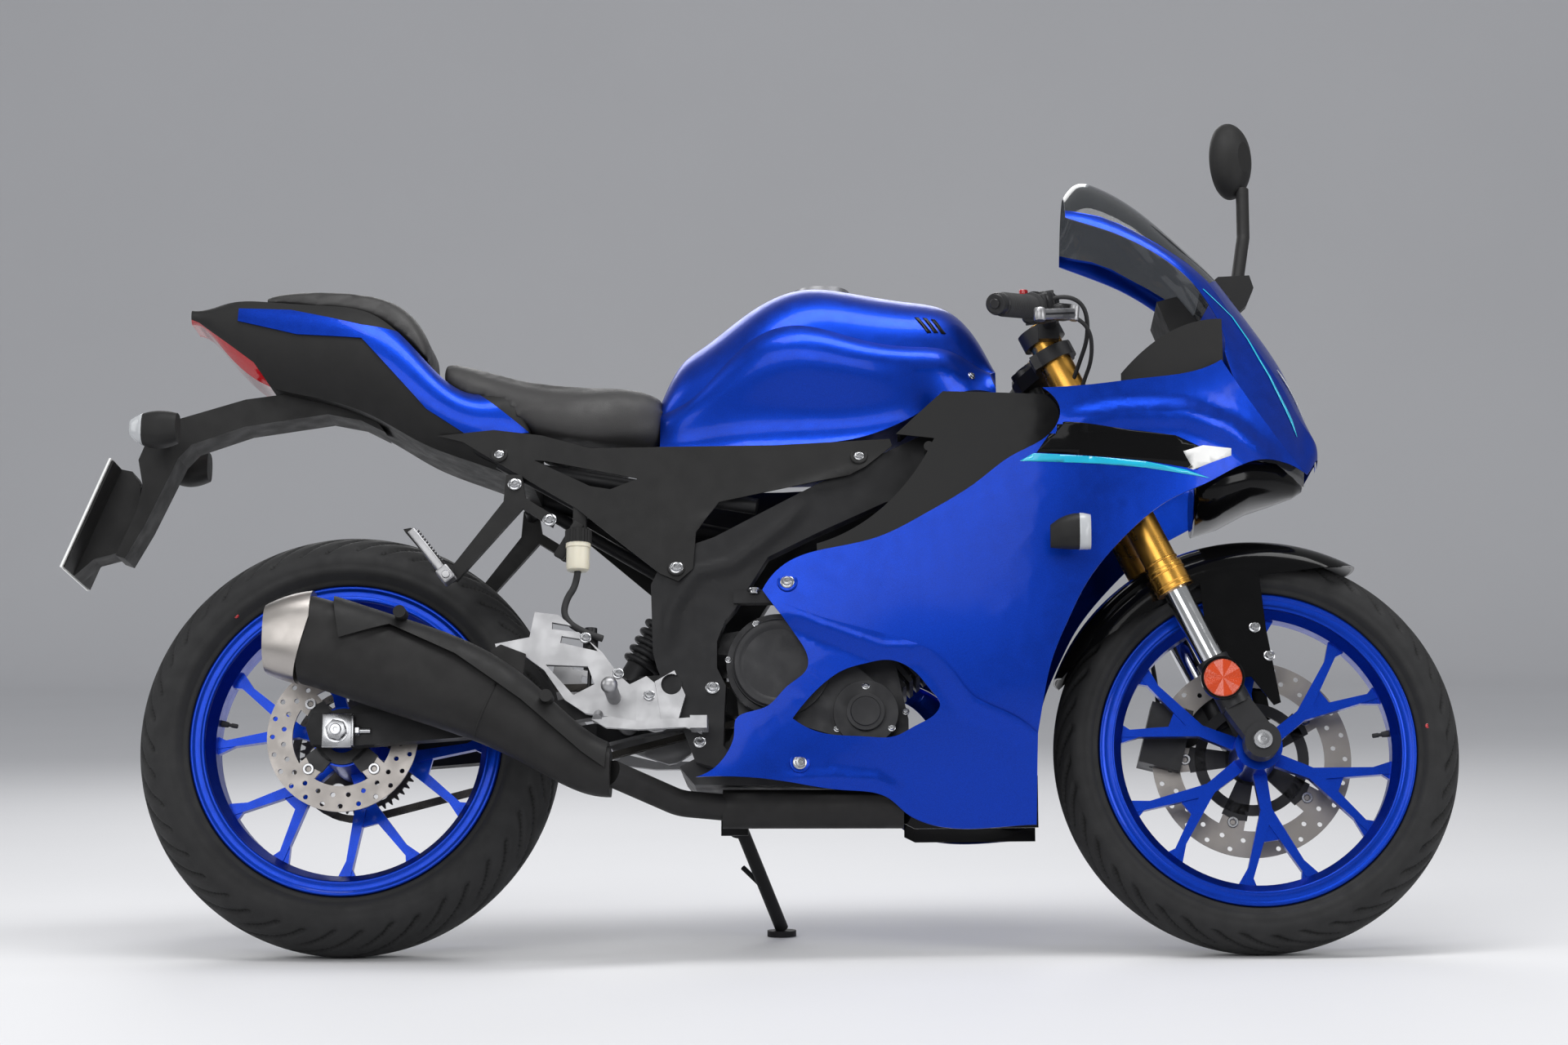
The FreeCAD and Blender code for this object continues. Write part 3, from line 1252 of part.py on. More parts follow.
def tank():
    """The painted tank cover with its filler cap."""
    wires = []
    scale = S.tank_half_width / 160.0
    for x, crest, *sides in TANK:
        points = [(y * scale, z) for y, z in reversed(sides)]
        top = (points[-1][0] * 0.55, crest - (crest - points[-1][1]) * 0.12)
        left = [V(fx(x), y, z) for y, z in points]
        over = [
            V(fx(x), *points[-1]), V(fx(x), *top), V(fx(x), 0, crest),
            V(fx(x), -top[0], top[1]), V(fx(x), -points[-1][0], points[-1][1]),
        ]
        right = [V(fx(x), -y, z) for y, z in reversed(points)]
        wires.append(Part.Wire([
            smooth_edge(left), smooth_edge(over), smooth_edge(right),
            Part.makeLine(right[-1], left[0]),
        ]))
    cover = Part.makeLoft(wires, True, False)
    belly = polygon_prism(drawn([
        (-230, 700), (-120, 700), (150, 732), (310, 800), (330, 790), (330, 690), (-230, 690),
    ]), -200, 200)
    cover = cover.cut(belly)
    axis_point = on_steering(S.top_clamp_height)
    for sign in (-1, 1):
        leg = on_steering(S.top_clamp_height, S.clamp_offset, sign * S.fork_spread / 2)
        turned = FreeCAD.Rotation(STEER_UP, sign * STEER_LIMIT).multVec(leg - axis_point)
        swept = axis_point + turned
        room = cylinder(
            swept - STEER_UP * 70, swept + STEER_UP * 60,
            S.outer_tube_radius + CLAMP_WALL + CLAMP_CORNER + MOVING_GAP,
        )
        cover = cover.cut(room)
    keep("tank_cover", feature("tank_cover", biggest(cover)))
    cap = Part.makeCylinder(43.0, 14.0, V(fx(30), 0, 984), V(-0.02, 0, 1))
    cap = cap.cut(cover)
    keep("filler_cap", feature("filler_cap", biggest(cap)))


SIDE_COVER = [
    (-532, 755), (-448, 761), (-376, 750), (-304, 727), (-209, 724), (-32, 725), (134, 733),
    (137, 723), (98, 691), (75, 679), (-43, 656), (-114, 641), (-147, 596), (-151, 542),
    (-172, 524), (-198, 535), (-326, 640), (-495, 745),
]


def side_covers():
    """Flat matt covers under the seat and the tank, with a long three-cornered slot."""
    outline = polygon_prism(drawn(SIDE_COVER), 0, 200)
    plan = plan_prism([
        (fx(-540), 98), (fx(-540), 101), (fx(-380), 118), (fx(-200), S.frame_half_width + 6),
        (fx(140), S.frame_half_width + 6), (fx(140), S.frame_half_width + 3),
        (fx(-200), S.frame_half_width + 3), (fx(-380), 115),
    ], 0, 1000)
    slot = polygon_prism(drawn([
        (-387, 713), (-369, 711), (-232, 678), (-273, 664), (-303, 670),
    ]), 0, 200)
    panel = outline.common(plan).cut(slot)
    face = S.frame_half_width
    peg_up = Part.makeCylinder(8.0, 4.5, V(fx(90), face, 700), V(0, 1, 0))
    peg_low = Part.makeCylinder(8.0, 4.5, V(fx(-166), face, 552), V(0, 1, 0))
    tail_peg = Part.makeCylinder(7.0, 18.0, V(fx(-440), 92, 732), V(0, 1, 0))
    cover = fused([panel, peg_up, peg_low, tail_peg]).cut(parts["main_frame"].Shape)
    both_in_one("side_covers", biggest(cover))


TAIL = [
    (-918, 950, 972, 26, 40), (-860, 900, 978, 42, 62), (-800, 850, 976, 52, 76),
    (-720, 826, 966, 62, 92), (-640, 798, 950, 70, 104), (-560, 752, 880, 76, 108),
    (-470, 716, 822, 80, 104), (-395, 690, 770, 84, 100),
]


def tail():
    """The matt tail body, its painted cheeks, the lamp, and the two seats on it."""
    grow = S.tail_half_width / 108.0
    body = solid_skin([
        (fx(x), [(low_y * grow, low), (side_y * grow, low + (high - low) * 0.4),
                 (side_y * grow, high - (high - low) * 0.25), (side_y * 0.8 * grow, high)])
        for x, low, high, low_y, side_y in TAIL
    ])
    room = fused([
        cylinder(V(fx(-720), -60, 836), V(fx(-680), 60, 836), 3.0),
        polygon_prism(drawn([
            (-395, 650), (-380, 650), (-380, 800), (-420, 800), (-640, 895), (-640, 870),
            (-600, 850), (-480, 770), (-460, 700), (-500, 640),
        ]), -70, 70),
    ])
    rails = fused([
        swept_tube([
            V(fx(-60), sign * 118, 640), V(fx(-380), sign * 96, 700),
            V(fx(-800), sign * 40, 880),
        ], 12.3, 90.0) for sign in (-1, 1)
    ])
    cross = fused([
        cylinder(V(fx(-440), -92, 726), V(fx(-440), 92, 726), 9.3),
        cylinder(V(fx(-700), -58, 836), V(fx(-700), 58, 836), 9.3),
        cylinder(V(fx(-170), -118, 560), V(fx(-440), -92, 716), 10.3),
        cylinder(V(fx(-170), 118, 560), V(fx(-440), 92, 716), 10.3),
    ])
    body = body.cut(rails).cut(cross).cut(parts["side_covers"].Shape)
    lamp_room = polygon_prism(drawn([
        (-930, 962), (-905, 950), (-816, 881), (-786, 838), (-800, 820), (-930, 900),
    ]), -100, 100)
    lamp = body.common(lamp_room)
    body = body.cut(lamp_room)
    body = biggest(body)
    keep("tail_body", feature("tail_body", body))
    keep("tail_lamp", feature("tail_lamp", biggest(lamp)))
    outer = solid_skin([
        (fx(x), [(low_y * grow + 3, low), (side_y * grow + 3, low + (high - low) * 0.4),
                 (side_y * grow + 3, high - (high - low) * 0.25), (side_y * 0.8 * grow + 3, high)])
        for x, low, high, low_y, side_y in TAIL
    ])
    cheek_room = polygon_prism(drawn([
        (-841, 944), (-747, 916), (-648, 905), (-548, 794), (-480, 750), (-396, 758),
        (-500, 843), (-581, 917), (-649, 927), (-760, 958), (-841, 965),
    ]), 20, 200)
    inner = solid_skin([
        (fx(x), [(low_y * grow, low), (side_y * grow, low + (high - low) * 0.4),
                 (side_y * grow, high - (high - low) * 0.25), (side_y * 0.8 * grow, high)])
        for x, low, high, low_y, side_y in TAIL
    ])
    cheek = outer.cut(inner).common(cheek_room).cut(parts["side_covers"].Shape)
    cheek = biggest(cheek)
    both_in_one("tail_cheeks", cheek)


def seats():
    rider = solid_skin([
        (fx(x), [(half * 0.86, low), (half, low + 10), (half * 0.9, high - 10), (half * 0.5, high)])
        for x, low, high, half in (
            (-530, 842, 884, 70), (-470, 800, 862, 88), (-400, 764, 838, 106),
            (-320, 742, 826, 120), (-250, 738, 828, 104), (-196, 745, 816, 70),
        )
    ])
    pillion = solid_skin([
        (fx(x), [(half * 0.9, low), (half, low + 8), (half * 0.92, high - 8), (half * 0.5, high)])
        for x, low, high, half in (
            (-810, 962, 986, 52), (-740, 955, 990, 66), (-660, 935, 982, 76),
            (-590, 880, 955, 80), (-556, 850, 905, 74),
        )
    ])
    tail_shape = parts["tail_body"].Shape
    frame_shape = parts["main_frame"].Shape
    cheek_shape = parts["tail_cheeks"].Shape
    rider = rider.cut(tail_shape).cut(frame_shape).cut(cheek_shape).cut(parts["tank_cover"].Shape)
    pillion = pillion.cut(tail_shape).cut(cheek_shape)
    keep("rider_seat", feature("rider_seat", biggest(rider)))
    keep("pillion_seat", feature("pillion_seat", biggest(pillion)))


def plate_hanger():
    """The long rear bracket with its blank plate and the four turn signals."""
    arm = polygon_prism(drawn([
        (-934, 802), (-832, 832), (-739, 844), (-670, 830), (-640, 806), (-620, 779),
        (-657, 798), (-707, 808), (-831, 790), (-911, 763), (-930, 742), (-976, 640),
        (-1004, 589), (-1018, 594), (-990, 660), (-982, 700), (-990, 740), (-980, 766),
    ]), -34, 34)
    body = arm.cut(parts["tail_body"].Shape).cut(parts["main_frame"].Shape)
    stalk = cylinder(V(fx(-948), -98, 765), V(fx(-948), 98, 765), 7.0)
    plate = polygon_prism(drawn([
        (-1019, 730), (-1022, 730), (-1088, 566), (-1085, 565),
    ]), -85, 85)
    holder = polygon_prism(drawn([
        (-1019, 728), (-1084, 567), (-1080, 565), (-1052, 590), (-1014, 600), (-990, 656),
        (-986, 700), (-1000, 724),
    ]), -26, 26)
    backing = polygon_prism(drawn([
        (-1019, 728), (-1084, 567), (-1081, 566), (-1016, 727),
    ]), -80, 80)
    hanger = biggest(fused([body, stalk, holder, backing]))
    keep("plate_hanger", feature("plate_hanger", hanger))
    keep("number_plate", feature("number_plate", plate))
    lamps = []
    rear = loft_ovals([
        (fx(-984), 0, 766, 10, 12), (fx(-960), 0, 764, 22, 25), (fx(-914), 0, 766, 20, 22),
    ])
    front = loft_ovals([
        (fx(360), 0, 562, 12, 16), (fx(385), 0, 568, 22, 24), (fx(416), 0, 568, 20, 24),
    ])
    core = side_core(-0.2)
    for sign in (-1, 1):
        back = rear.copy()
        back.translate(V(0, sign * 118, 0))
        lamps.append(back.cut(hanger))
        ahead = front.copy()
        ahead.translate(V(0, sign * 250, 0))
        stem = Part.makeCylinder(8.0, 90.0, V(fx(388), sign * 160, 568), V(0, sign, 0))
        lamps.append(ahead.fuse(stem).cut(core if sign > 0 else mirrored(core)))
    keep("turn_signals", feature("turn_signals", Part.makeCompound(
        [s for lamp in lamps for s in lamp.Solids]
    )))


def loft_ovals(rows):
    return Part.makeLoft([oval_wire(x, y, z, hy, hz) for x, y, z, hy, hz in rows], True, False)


# Steering

def fork():
    """Clamps, gold upper tubes, bright inner tubes and the cast feet with the axle."""
    half = S.fork_spread / 2
    leg = S.clamp_offset
    tubes, bright, feet = [], [], []
    for sign in (-1, 1):
        side = sign * half
        top = on_steering(S.fork_top_height, leg, side)
        seal = on_steering(S.seal_height, leg, side)
        head = on_steering(S.seal_height + 34, leg, side)
        foot = on_steering(S.foot_height, leg, side)
        tubes.append(fused([
            cylinder(seal, top, S.outer_tube_radius), cylinder(seal, head, S.seal_head_radius),
            cylinder(top, top + STEER_UP * 6, S.outer_tube_radius - 7),
        ]))
        bright.append(cylinder(foot, seal, S.stanchion_radius))
        axle = FRONT_AXLE + V(0, side, 0)
        low = on_steering(axle.z + 36, leg, side)
        leg_foot = fused([
            cylinder(low, foot, S.fork_foot_radius),
            cylinder(axle - V(0, 20, 0), axle + V(0, 20, 0), 26.0),
            foot_web(axle, low, side),
        ])
        feet.append(leg_foot)
    axle_bar = cylinder(
        FRONT_AXLE - V(0, half + 24, 0), FRONT_AXLE + V(0, half + 24, 0), S.front_axle_radius
    )
    spacers = []
    for sign in (-1, 1):
        near = S.front_hub_width / 2 + S.running_gap
        spacers.append(tube(
            FRONT_AXLE + V(0, sign * near, 0), FRONT_AXLE + V(0, sign * (half - 18), 0),
            15.0, 15.0 - S.front_axle_radius,
        ))
    keep("fork_tubes", feature("fork_tubes", Part.makeCompound(tubes)))
    keep("fork_stanchions", feature("fork_stanchions", Part.makeCompound(bright)))
    keep("fork_feet", feature("fork_feet", fused(feet + [axle_bar] + spacers)))


def foot_web(axle, low, side):
    ahead = STEER_AHEAD
    corner = [
        low - ahead * 20 + STEER_UP * 4, low + ahead * 20 + STEER_UP * 4,
        axle + V(24, 0, 6), axle + V(6, 0, -24), axle + V(-24, 0, 4),
    ]
    return polygon_prism([(p.x, p.z) for p in corner], side - 17, side + 17)


def clamp_plate(height, thickness, grip):
    """A fork clamp: a plate square to the steering axis, split round both legs."""
    half = S.fork_spread / 2
    leg = S.clamp_offset
    plan = [
        (-24, 0), (-18, 26), (10, half - 34), (leg - 30, half - 16), (leg - 34, half + 20),
        (leg, half + grip), (leg + 30, half + 18), (leg + 32, half - 22), (leg + 8, 34),
        (leg - 6, 0),
    ]
    full = plan + [(u, -v) for u, v in reversed(plan[1:-1])]
    base = on_steering(height)
    ring = [base + STEER_AHEAD * u + V(0, v, 0) for u, v in full]
    plate = Part.Face(Part.makePolygon(ring + ring[:1])).extrude(STEER_UP * thickness)
    for sign in (-1, 1):
        centre = base + STEER_AHEAD * leg + V(0, sign * half, 0)
        plate = plate.fuse(cylinder(centre, centre + STEER_UP * thickness, grip))
        plate = plate.cut(cylinder(
            centre - STEER_UP * 5, centre + STEER_UP * (thickness + 5), S.outer_tube_radius
        ))
    return plate


def fork_clamps():
    grip = S.outer_tube_radius + CLAMP_WALL
    low = clamp_plate(S.low_clamp_height - 16, S.clamp_thickness, grip)
    high = clamp_plate(S.top_clamp_height - 4, S.clamp_thickness * 0.7, grip)
    stem = cylinder(
        on_steering(S.low_clamp_height - 10), on_steering(S.top_clamp_height + 22), S.stem_radius
    )
    nut = cylinder(
        on_steering(S.top_clamp_height + 12), on_steering(S.top_clamp_height + 26), 19.0
    )
    keep("fork_clamps", feature("fork_clamps", fused([low, high, stem, nut])))


def bar_points(sign):
    return [V(fx(366), sign * 112, 902), V(fx(372), sign * 176, 918), V(fx(292), sign * 348, 874)]


def handlebars():
    """Two low bars clamped to the fork above the top clamp, with levers and switches."""
    half = S.fork_spread / 2
    leg = S.clamp_offset
    pieces = []
    grips = []
    for sign in (-1, 1):
        points = bar_points(sign)
        base = on_steering(S.top_clamp_height + 27, leg, sign * half)
        ring = cylinder(base, base + STEER_UP * 24, S.outer_tube_radius + 8)
        bore = cylinder(base - STEER_UP * 30, base + STEER_UP * 60, S.outer_tube_radius)
        lug = block(
            (points[0].x - 14, min(sign * 118, sign * 140), 884),
            (points[0].x + 16, max(sign * 118, sign * 140), 912),
        )
        bar = swept_tube(points, S.bar_radius, 40.0)
        end = points[-1]
        inward = (points[1] - end).normalize()
        weight = cylinder(end, end - inward * 18, 15.0)
        pieces.append(ring.fuse(lug).fuse(bar).cut(bore).fuse(weight))
        housing_at = end + inward * (S.grip_length + 6)
        housing = cylinder(housing_at, housing_at + inward * 34, 23.0)
        pieces.append(housing)
        ahead = V(0.86, sign * 0.42, -0.28).normalize()
        root = housing_at + inward * 20 + ahead * 20
        tip = end + ahead * 62 + V(0, 0, -6)
        pivot = root + ahead * 36
        lever = swept_tube([root, pivot, tip], 5.0, 16.0)
        pieces.append(lever.fuse(Part.makeSphere(8.0, tip)))
        grip = tube(end + inward * 1, end + inward * S.grip_length, S.grip_radius,
                    S.grip_radius - S.bar_radius)
        grips.append(grip)
    whole = fused(pieces)
    keep("handlebars", feature("handlebars", Part.makeCompound(whole.Solids)))
    keep("grips", feature("grips", Part.makeCompound(grips)))


def front_mudguard():
    """An arched guard close over the tyre, with legs down to the fork feet."""
    centre = FRONT_AXLE
    inner_r = S.front_tyre_radius + 14

    def section(radius_add, wall_add):
        half = S.guard_half_width + wall_add
        top = inner_r + radius_add
        return [V(0, half, top - 62), V(0, half - 4, top - 26), V(0, half * 0.55, top - 5),
                V(0, 0, top), V(0, -half * 0.55, top - 5), V(0, -half + 4, top - 26),
                V(0, -half, top - 62)]

    outer = section(3.0, 3.0)
    inner = section(0.0, 0.0)
    face = Part.Face(Part.Wire([
        smooth_edge(outer), Part.makeLine(outer[-1], inner[-1]),
        smooth_edge(list(reversed(inner))), Part.makeLine(inner[0], outer[0]),
    ]))
    rear_end = -70.0
    front_end = 29.5
    face.rotate(V(0, 0, 0), V(0, 1, 0), rear_end)
    guard = face.revolve(V(0, 0, 0), V(0, 1, 0), front_end - rear_end)
    below_front = [(2, 249), (122, 264), (165, 274), (300, 200), (2, 60)]
    below_rear = [(-100, 222), (-176, 187), (-248, 139), (-292, 92), (-330, 20), (-100, 20)]
    for outline in (below_front, below_rear):
        guard = guard.cut(polygon_prism(outline, -100, 100))
    guard.translate(centre)
    legs = []
    for sign in (-1, 1):
        near = S.guard_half_width + 2
        low, high = sorted((sign * near, sign * (near + 3)))
        legs.append(polygon_prism([
            (centre.x + x, centre.z + z) for x, z in (
                (-80, 240), (-66, 96), (-52, 92), (-10, 100), (22, 58), (32, 62), (14, 170),
                (6, 254), (-40, 258),
            )
        ], low, high))
        lug = on_steering(S.foot_height - 13, S.clamp_offset)
        legs.append(Part.makeCylinder(
            7.0, 22.0, V(lug.x, sign * (near + 1), lug.z), V(0, sign, 0)
        ))
    whole = fused([guard] + legs).cut(parts["fork_feet"].Shape)
    for sign in (-1, 1):
        seal = on_steering(S.seal_height, S.clamp_offset, sign * S.fork_spread / 2)
        whole = whole.cut(cylinder(
            seal - STEER_UP * 2, seal + STEER_UP * 60, S.seal_head_radius + S.running_gap
        ))
    whole = biggest(whole)
    keep("front_mudguard", feature("front_mudguard", whole))


def reflectors():
    """A round reflector on a short stem at the outside of each fork foot."""
    centre = V(FRONT_AXLE.x - 55.5, 0, FRONT_AXLE.z + 87.0)
    near = S.fork_spread / 2 + S.fork_foot_radius
    lenses = []
    for sign in (-1, 1):
        way = V(0, sign, 0)
        stem = Part.makeCylinder(9.0, 14.0, centre + way * (near - 10), way)
        lens = Part.makeCylinder(28.0, 8.0, centre + way * (near + 2), way)
        lenses.append(biggest(stem.fuse(lens).cut(parts["fork_feet"].Shape)))
    keep("reflectors", feature("reflectors", Part.makeCompound(lenses)))


def front_caliper():
    """A caliper on the left foot, its two halves either side of the disc."""
    axle = FRONT_AXLE
    side = S.front_disc_offset
    angle = math.radians(166)
    centre = axle + V(math.cos(angle), 0, math.sin(angle)) * (S.front_disc_radius - 16)
    body = Part.makeBox(62, 64, 92, V(-31, side - 26, -46))
    body.rotate(V(0, 0, 0), V(0, 1, 0), 14)
    body.translate(V(centre.x, 0, centre.z))
    gap = S.disc_thickness / 2 + S.running_gap
    body = body.cut(cylinder(
        axle + V(0, side - gap, 0), axle + V(0, side + gap, 0), S.front_disc_radius + 5
    ))
    lug = polygon_prism([
        (centre.x + 10, centre.z + 40), (centre.x + 90, centre.z + 70),
        (centre.x + 110, centre.z + 30), (centre.x + 20, centre.z - 20),
    ], side + 22, side + 34)
    legs = parts["fork_feet"].Shape
    shape = fused([body, lug]).cut(legs)
    keep("front_caliper", feature("front_caliper", biggest(shape)))


# Footrests, controls, stand and mirror

def footrests():
    """Cast brackets on the frame plates, each with a peg and a heel guard."""
    face = S.frame_half_width
    plate_line = [
        (-192, 306), (-204, 374), (-216, 384), (-240, 372), (-254, 384), (-280, 419),
        (-343, 473), (-377, 477), (-384, 440), (-433, 430), (-430, 418), (-392, 414),
        (-362, 392), (-332, 349), (-303, 330), (-262, 324), (-204, 304),
    ]
    bracket = polygon_prism(drawn(plate_line), 0, 200)
    plan = plan_prism([
        (fx(-180), face), (fx(-180), face + 12), (fx(-230), face + 12), (fx(-440), face + 24),
        (fx(-440), face + 14), (fx(-240), face),
    ], 0, 1000)
    bracket = bracket.common(plan)
    for slot in (
        [(-352, 452), (-300, 446), (-318, 456), (-352, 462)],
        [(-340, 432), (-286, 420), (-300, 436), (-338, 442)],
        [(-360, 400), (-300, 398), (-290, 372), (-320, 356)],
    ):
        bracket = bracket.cut(polygon_prism(drawn(slot), 0, 200))
    pegs = []
    root = V(fx(-262), face + 6, 352)
    pegs.append(cylinder(root, root + V(0, S.peg_length, 4), S.peg_radius))
    pegs.append(Part.makeSphere(S.peg_radius + 2, root + V(0, S.peg_length, 4)))
    left = fused([bracket] + pegs)
    link = polygon_prism(drawn([
        (-192, 306), (-170, 320), (-160, 356), (-176, 392), (-204, 376),
    ]), face, face + 12)
    left = left.fuse(link)
    left = left.cut(cylinder(
        V(S.pivot_x, face - 5, S.pivot_z), V(S.pivot_x, face + 40, S.pivot_z), S.pivot_radius
    ))
    both_in_one("footrests", left.removeSplitter())
    side = -face
    pedal = fused([
        polygon_prism(drawn([
            (-292, 318), (-271, 306), (-225, 303), (-158, 306), (-135, 297), (-130, 310),
            (-147, 320), (-225, 315), (-266, 322),
        ]), side - 34, side - 24),
        block((fx(-150), side - 62, 300), (fx(-126), side - 22, 318)),
        cylinder(V(fx(-284), side - 34, 318), V(fx(-284), side - 9, 330), 7.0),
    ])
    shift = fused([
        polygon_prism(drawn([
            (-292, 318), (-271, 306), (-225, 300), (-158, 300), (-135, 297), (-130, 308),
            (-147, 312), (-225, 312), (-266, 322),
        ]), -side + 24, -side + 34),
        block((fx(-150), -side + 22, 298), (fx(-130), -side + 66, 314)),
        cylinder(V(fx(-284), -side + 34, 318), V(fx(-284), -side + 9, 330), 7.0),
    ])
    rests = parts["footrests"].Shape
    keep("foot_controls", feature("foot_controls", Part.makeCompound(
        [biggest(pedal.cut(rests)), biggest(shift.cut(rests))]
    )))
    frame_shape = parts["main_frame"].Shape
    lugs = [
        biggest(cylinder(V(fx(x), 84, z), V(fx(x), face - 20, z - 6), 9.0).cut(frame_shape))
        for x, z in ((-414, 686), (-366, 656))
    ]
    tripod = fused(lugs + [
        polygon_prism(drawn([
            (-427, 690), (-404, 690), (-398, 655), (-352, 626), (-358, 612), (-402, 640),
            (-496, 532), (-512, 542), (-430, 650),
        ]), face - 30, face - 18),
        cylinder(V(fx(-504), face - 24, 538), V(fx(-504), face + 30, 540), 8.0),
        polygon_prism(drawn([
            (-567, 596), (-556, 598), (-494, 534), (-502, 520),
        ]), face + 16, face + 40),
    ])
    both_in_one("pillion_pegs", biggest(tripod.cut(parts["side_covers"].Shape)))
    bottle = fused([
        block((fx(-328), -122, 572), (fx(-308), -112, 654)).cut(frame_shape),
        cylinder(V(fx(-318), -face + 4, 541), V(fx(-318), -face + 4, 578), 17.0),
        cylinder(V(fx(-318), -face + 4, 578), V(fx(-318), -face + 4, 598), 19.0),
        polygon_prism(drawn([
            (-318, 566), (-318, 556), (-352, 618), (-344, 622),
        ]), -face + 14, -face + 20),
    ])
    keep("brake_reservoir", feature("brake_reservoir", bottle))


def side_stand():
    """A bent leg on a pin through the frame's ear, with a flat foot on the floor."""
    axis = stand_axis()
    foot_centre = STAND_FOOT
    ground_up = V(0, -math.sin(LEAN), math.cos(LEAN))
    leg = cylinder(STAND_PIVOT + axis * 9, foot_centre + ground_up * 12, S.stand_tube_radius)
    eye = cylinder(STAND_PIVOT - axis * 2, STAND_PIVOT + axis * 18, 17.0)
    foot = Part.makeCylinder(22.0, 9.0, foot_centre, ground_up)
    tang = cylinder(
        STAND_PIVOT + (foot_centre - STAND_PIVOT) * 0.55,
        STAND_PIVOT + (foot_centre - STAND_PIVOT) * 0.55 + V(-30, 12, 30), 4.0,
    )
    bore = cylinder(STAND_PIVOT - axis * 30, STAND_PIVOT + axis * 40, 6.0 + S.axle_clearance)
    shape = fused([leg, eye, foot, tang]).cut(bore)
    keep("side_stand", feature("side_stand", shape))


def mirror():
    """The left mirror, its arm turned up above the nose."""
    ball = V(fx(668), 152, 1036)
    elbow = V(fx(686), 182, 1139)
    socket = V(fx(688), 196, 1222)
    arm = fused([
        cylinder(V(fx(598), 88, 972), ball, 13.0), Part.makeSphere(17.0, ball),
        cylinder(ball, elbow, 10.0), Part.makeSphere(10.0, elbow),
        cylinder(elbow, socket, 10.0),
    ])
    face = V(-0.7, 0.7, 0).normalize()
    wide = V(0.7, 0.7, 0).normalize()
    glass = V(fx(662), 212, 1272)
    head = Part.makeLoft([
        facing_oval(glass - face * back, wide, 38 * share, 62 * share)
        for back, share in ((0, 0.94), (6, 1.0), (20, 0.96), (34, 0.72), (42, 0.4))
    ], True, False)
    whole = fused([arm, head]).cut(parts["front_cowl"].Shape).cut(parts["windscreen"].Shape)
    keep("mirror", feature("mirror", biggest(whole)))


def facing_oval(centre, wide, half_wide, half_high):
    """A rounded outline that stands upright and spans along the direction wide."""
    points = []
    count = 12
    for step in range(count):
        angle = 2 * math.pi * step / count
        points.append(
            centre + wide * (half_wide * math.cos(angle)) + V(0, 0, half_high * math.sin(angle))
        )
    curve = Part.BSplineCurve()
    curve.interpolate(points, PeriodicFlag=True)
    return Part.Wire([curve.toShape()])


# The whole bike, leaned onto its stand and centred over its origin

def make_everything():
    make_wheels()
    rear_sprocket()
    drive_chain()
    swingarm()
    rear_caliper()
    main_frame()
    rear_shock()
    engine()
    radiator()
    exhaust()
    side_fairings()
    tank()
    inner_fairings()
    nose()
    cockpit()
    side_covers()
    tail()
    seats()
    plate_hanger()
    fork()
    fork_clamps()
    handlebars()
    front_mudguard()
    front_caliper()
    reflectors()
    footrests()
    side_stand()
    mirror()


def lean_and_centre():
    """Leans every piece, then moves the middle of the box's floor to the origin."""
    turn = FreeCAD.Rotation(V(1, 0, 0), -S.lean_angle)
    low, high = [1e9] * 3, [-1e9] * 3
    for obj in parts.values():
        shape = obj.Shape.copy()
        shape.Placement = FreeCAD.Placement(V(0, 0, 0), turn).multiply(shape.Placement)
        points, _ = shape.tessellate(0.5)
        for p in points:
            for axis in range(3):
                low[axis] = min(low[axis], p[axis])
                high[axis] = max(high[axis], p[axis])
    shift = V(-(low[0] + high[0]) / 2, -(low[1] + high[1]) / 2, -low[2])
    place = FreeCAD.Placement(shift, turn)
    for obj in parts.values():
        obj.Placement = place.multiply(obj.Placement)
    return place, [high[axis] - low[axis] for axis in range(3)]


def check_everything():
    for obj in doc.Objects:
        if "Invalid" in obj.State or "Error" in obj.State:
            raise RuntimeError(f"{obj.Label} did not build: {obj.State}")
    for label, obj in parts.items():
        if obj.Shape.isNull() or not obj.Shape.isValid():
            raise RuntimeError(f"{label} has no good shape")


make_everything()
doc.recompute()
place, box_size = lean_and_centre()
doc.recompute()
check_everything()
print("box", [round(s, 1) for s in box_size], "shift", place.Base)
os.makedirs("parts", exist_ok=True)
for label, obj in parts.items():
    obj.Shape.exportStep(f"parts/{label}.step")
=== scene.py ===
# %% [markdown]
# A small sport motorcycle, leaning on its side stand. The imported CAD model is
# the frame: it gives every rigid piece its place. This script dresses it with
# finishes, tread, upholstery, bolts and cables, and lights it in a plain studio.
#
# The bike was drawn upright in millimetres, with its middle between the wheels.
# The helper `lean` takes such a point to the leaned frame that the CAD uses.

# %% Load the frame
import json
import math

import bmesh
import bpy
from mathutils import Matrix, Vector
from mathutils.bvhtree import BVHTree


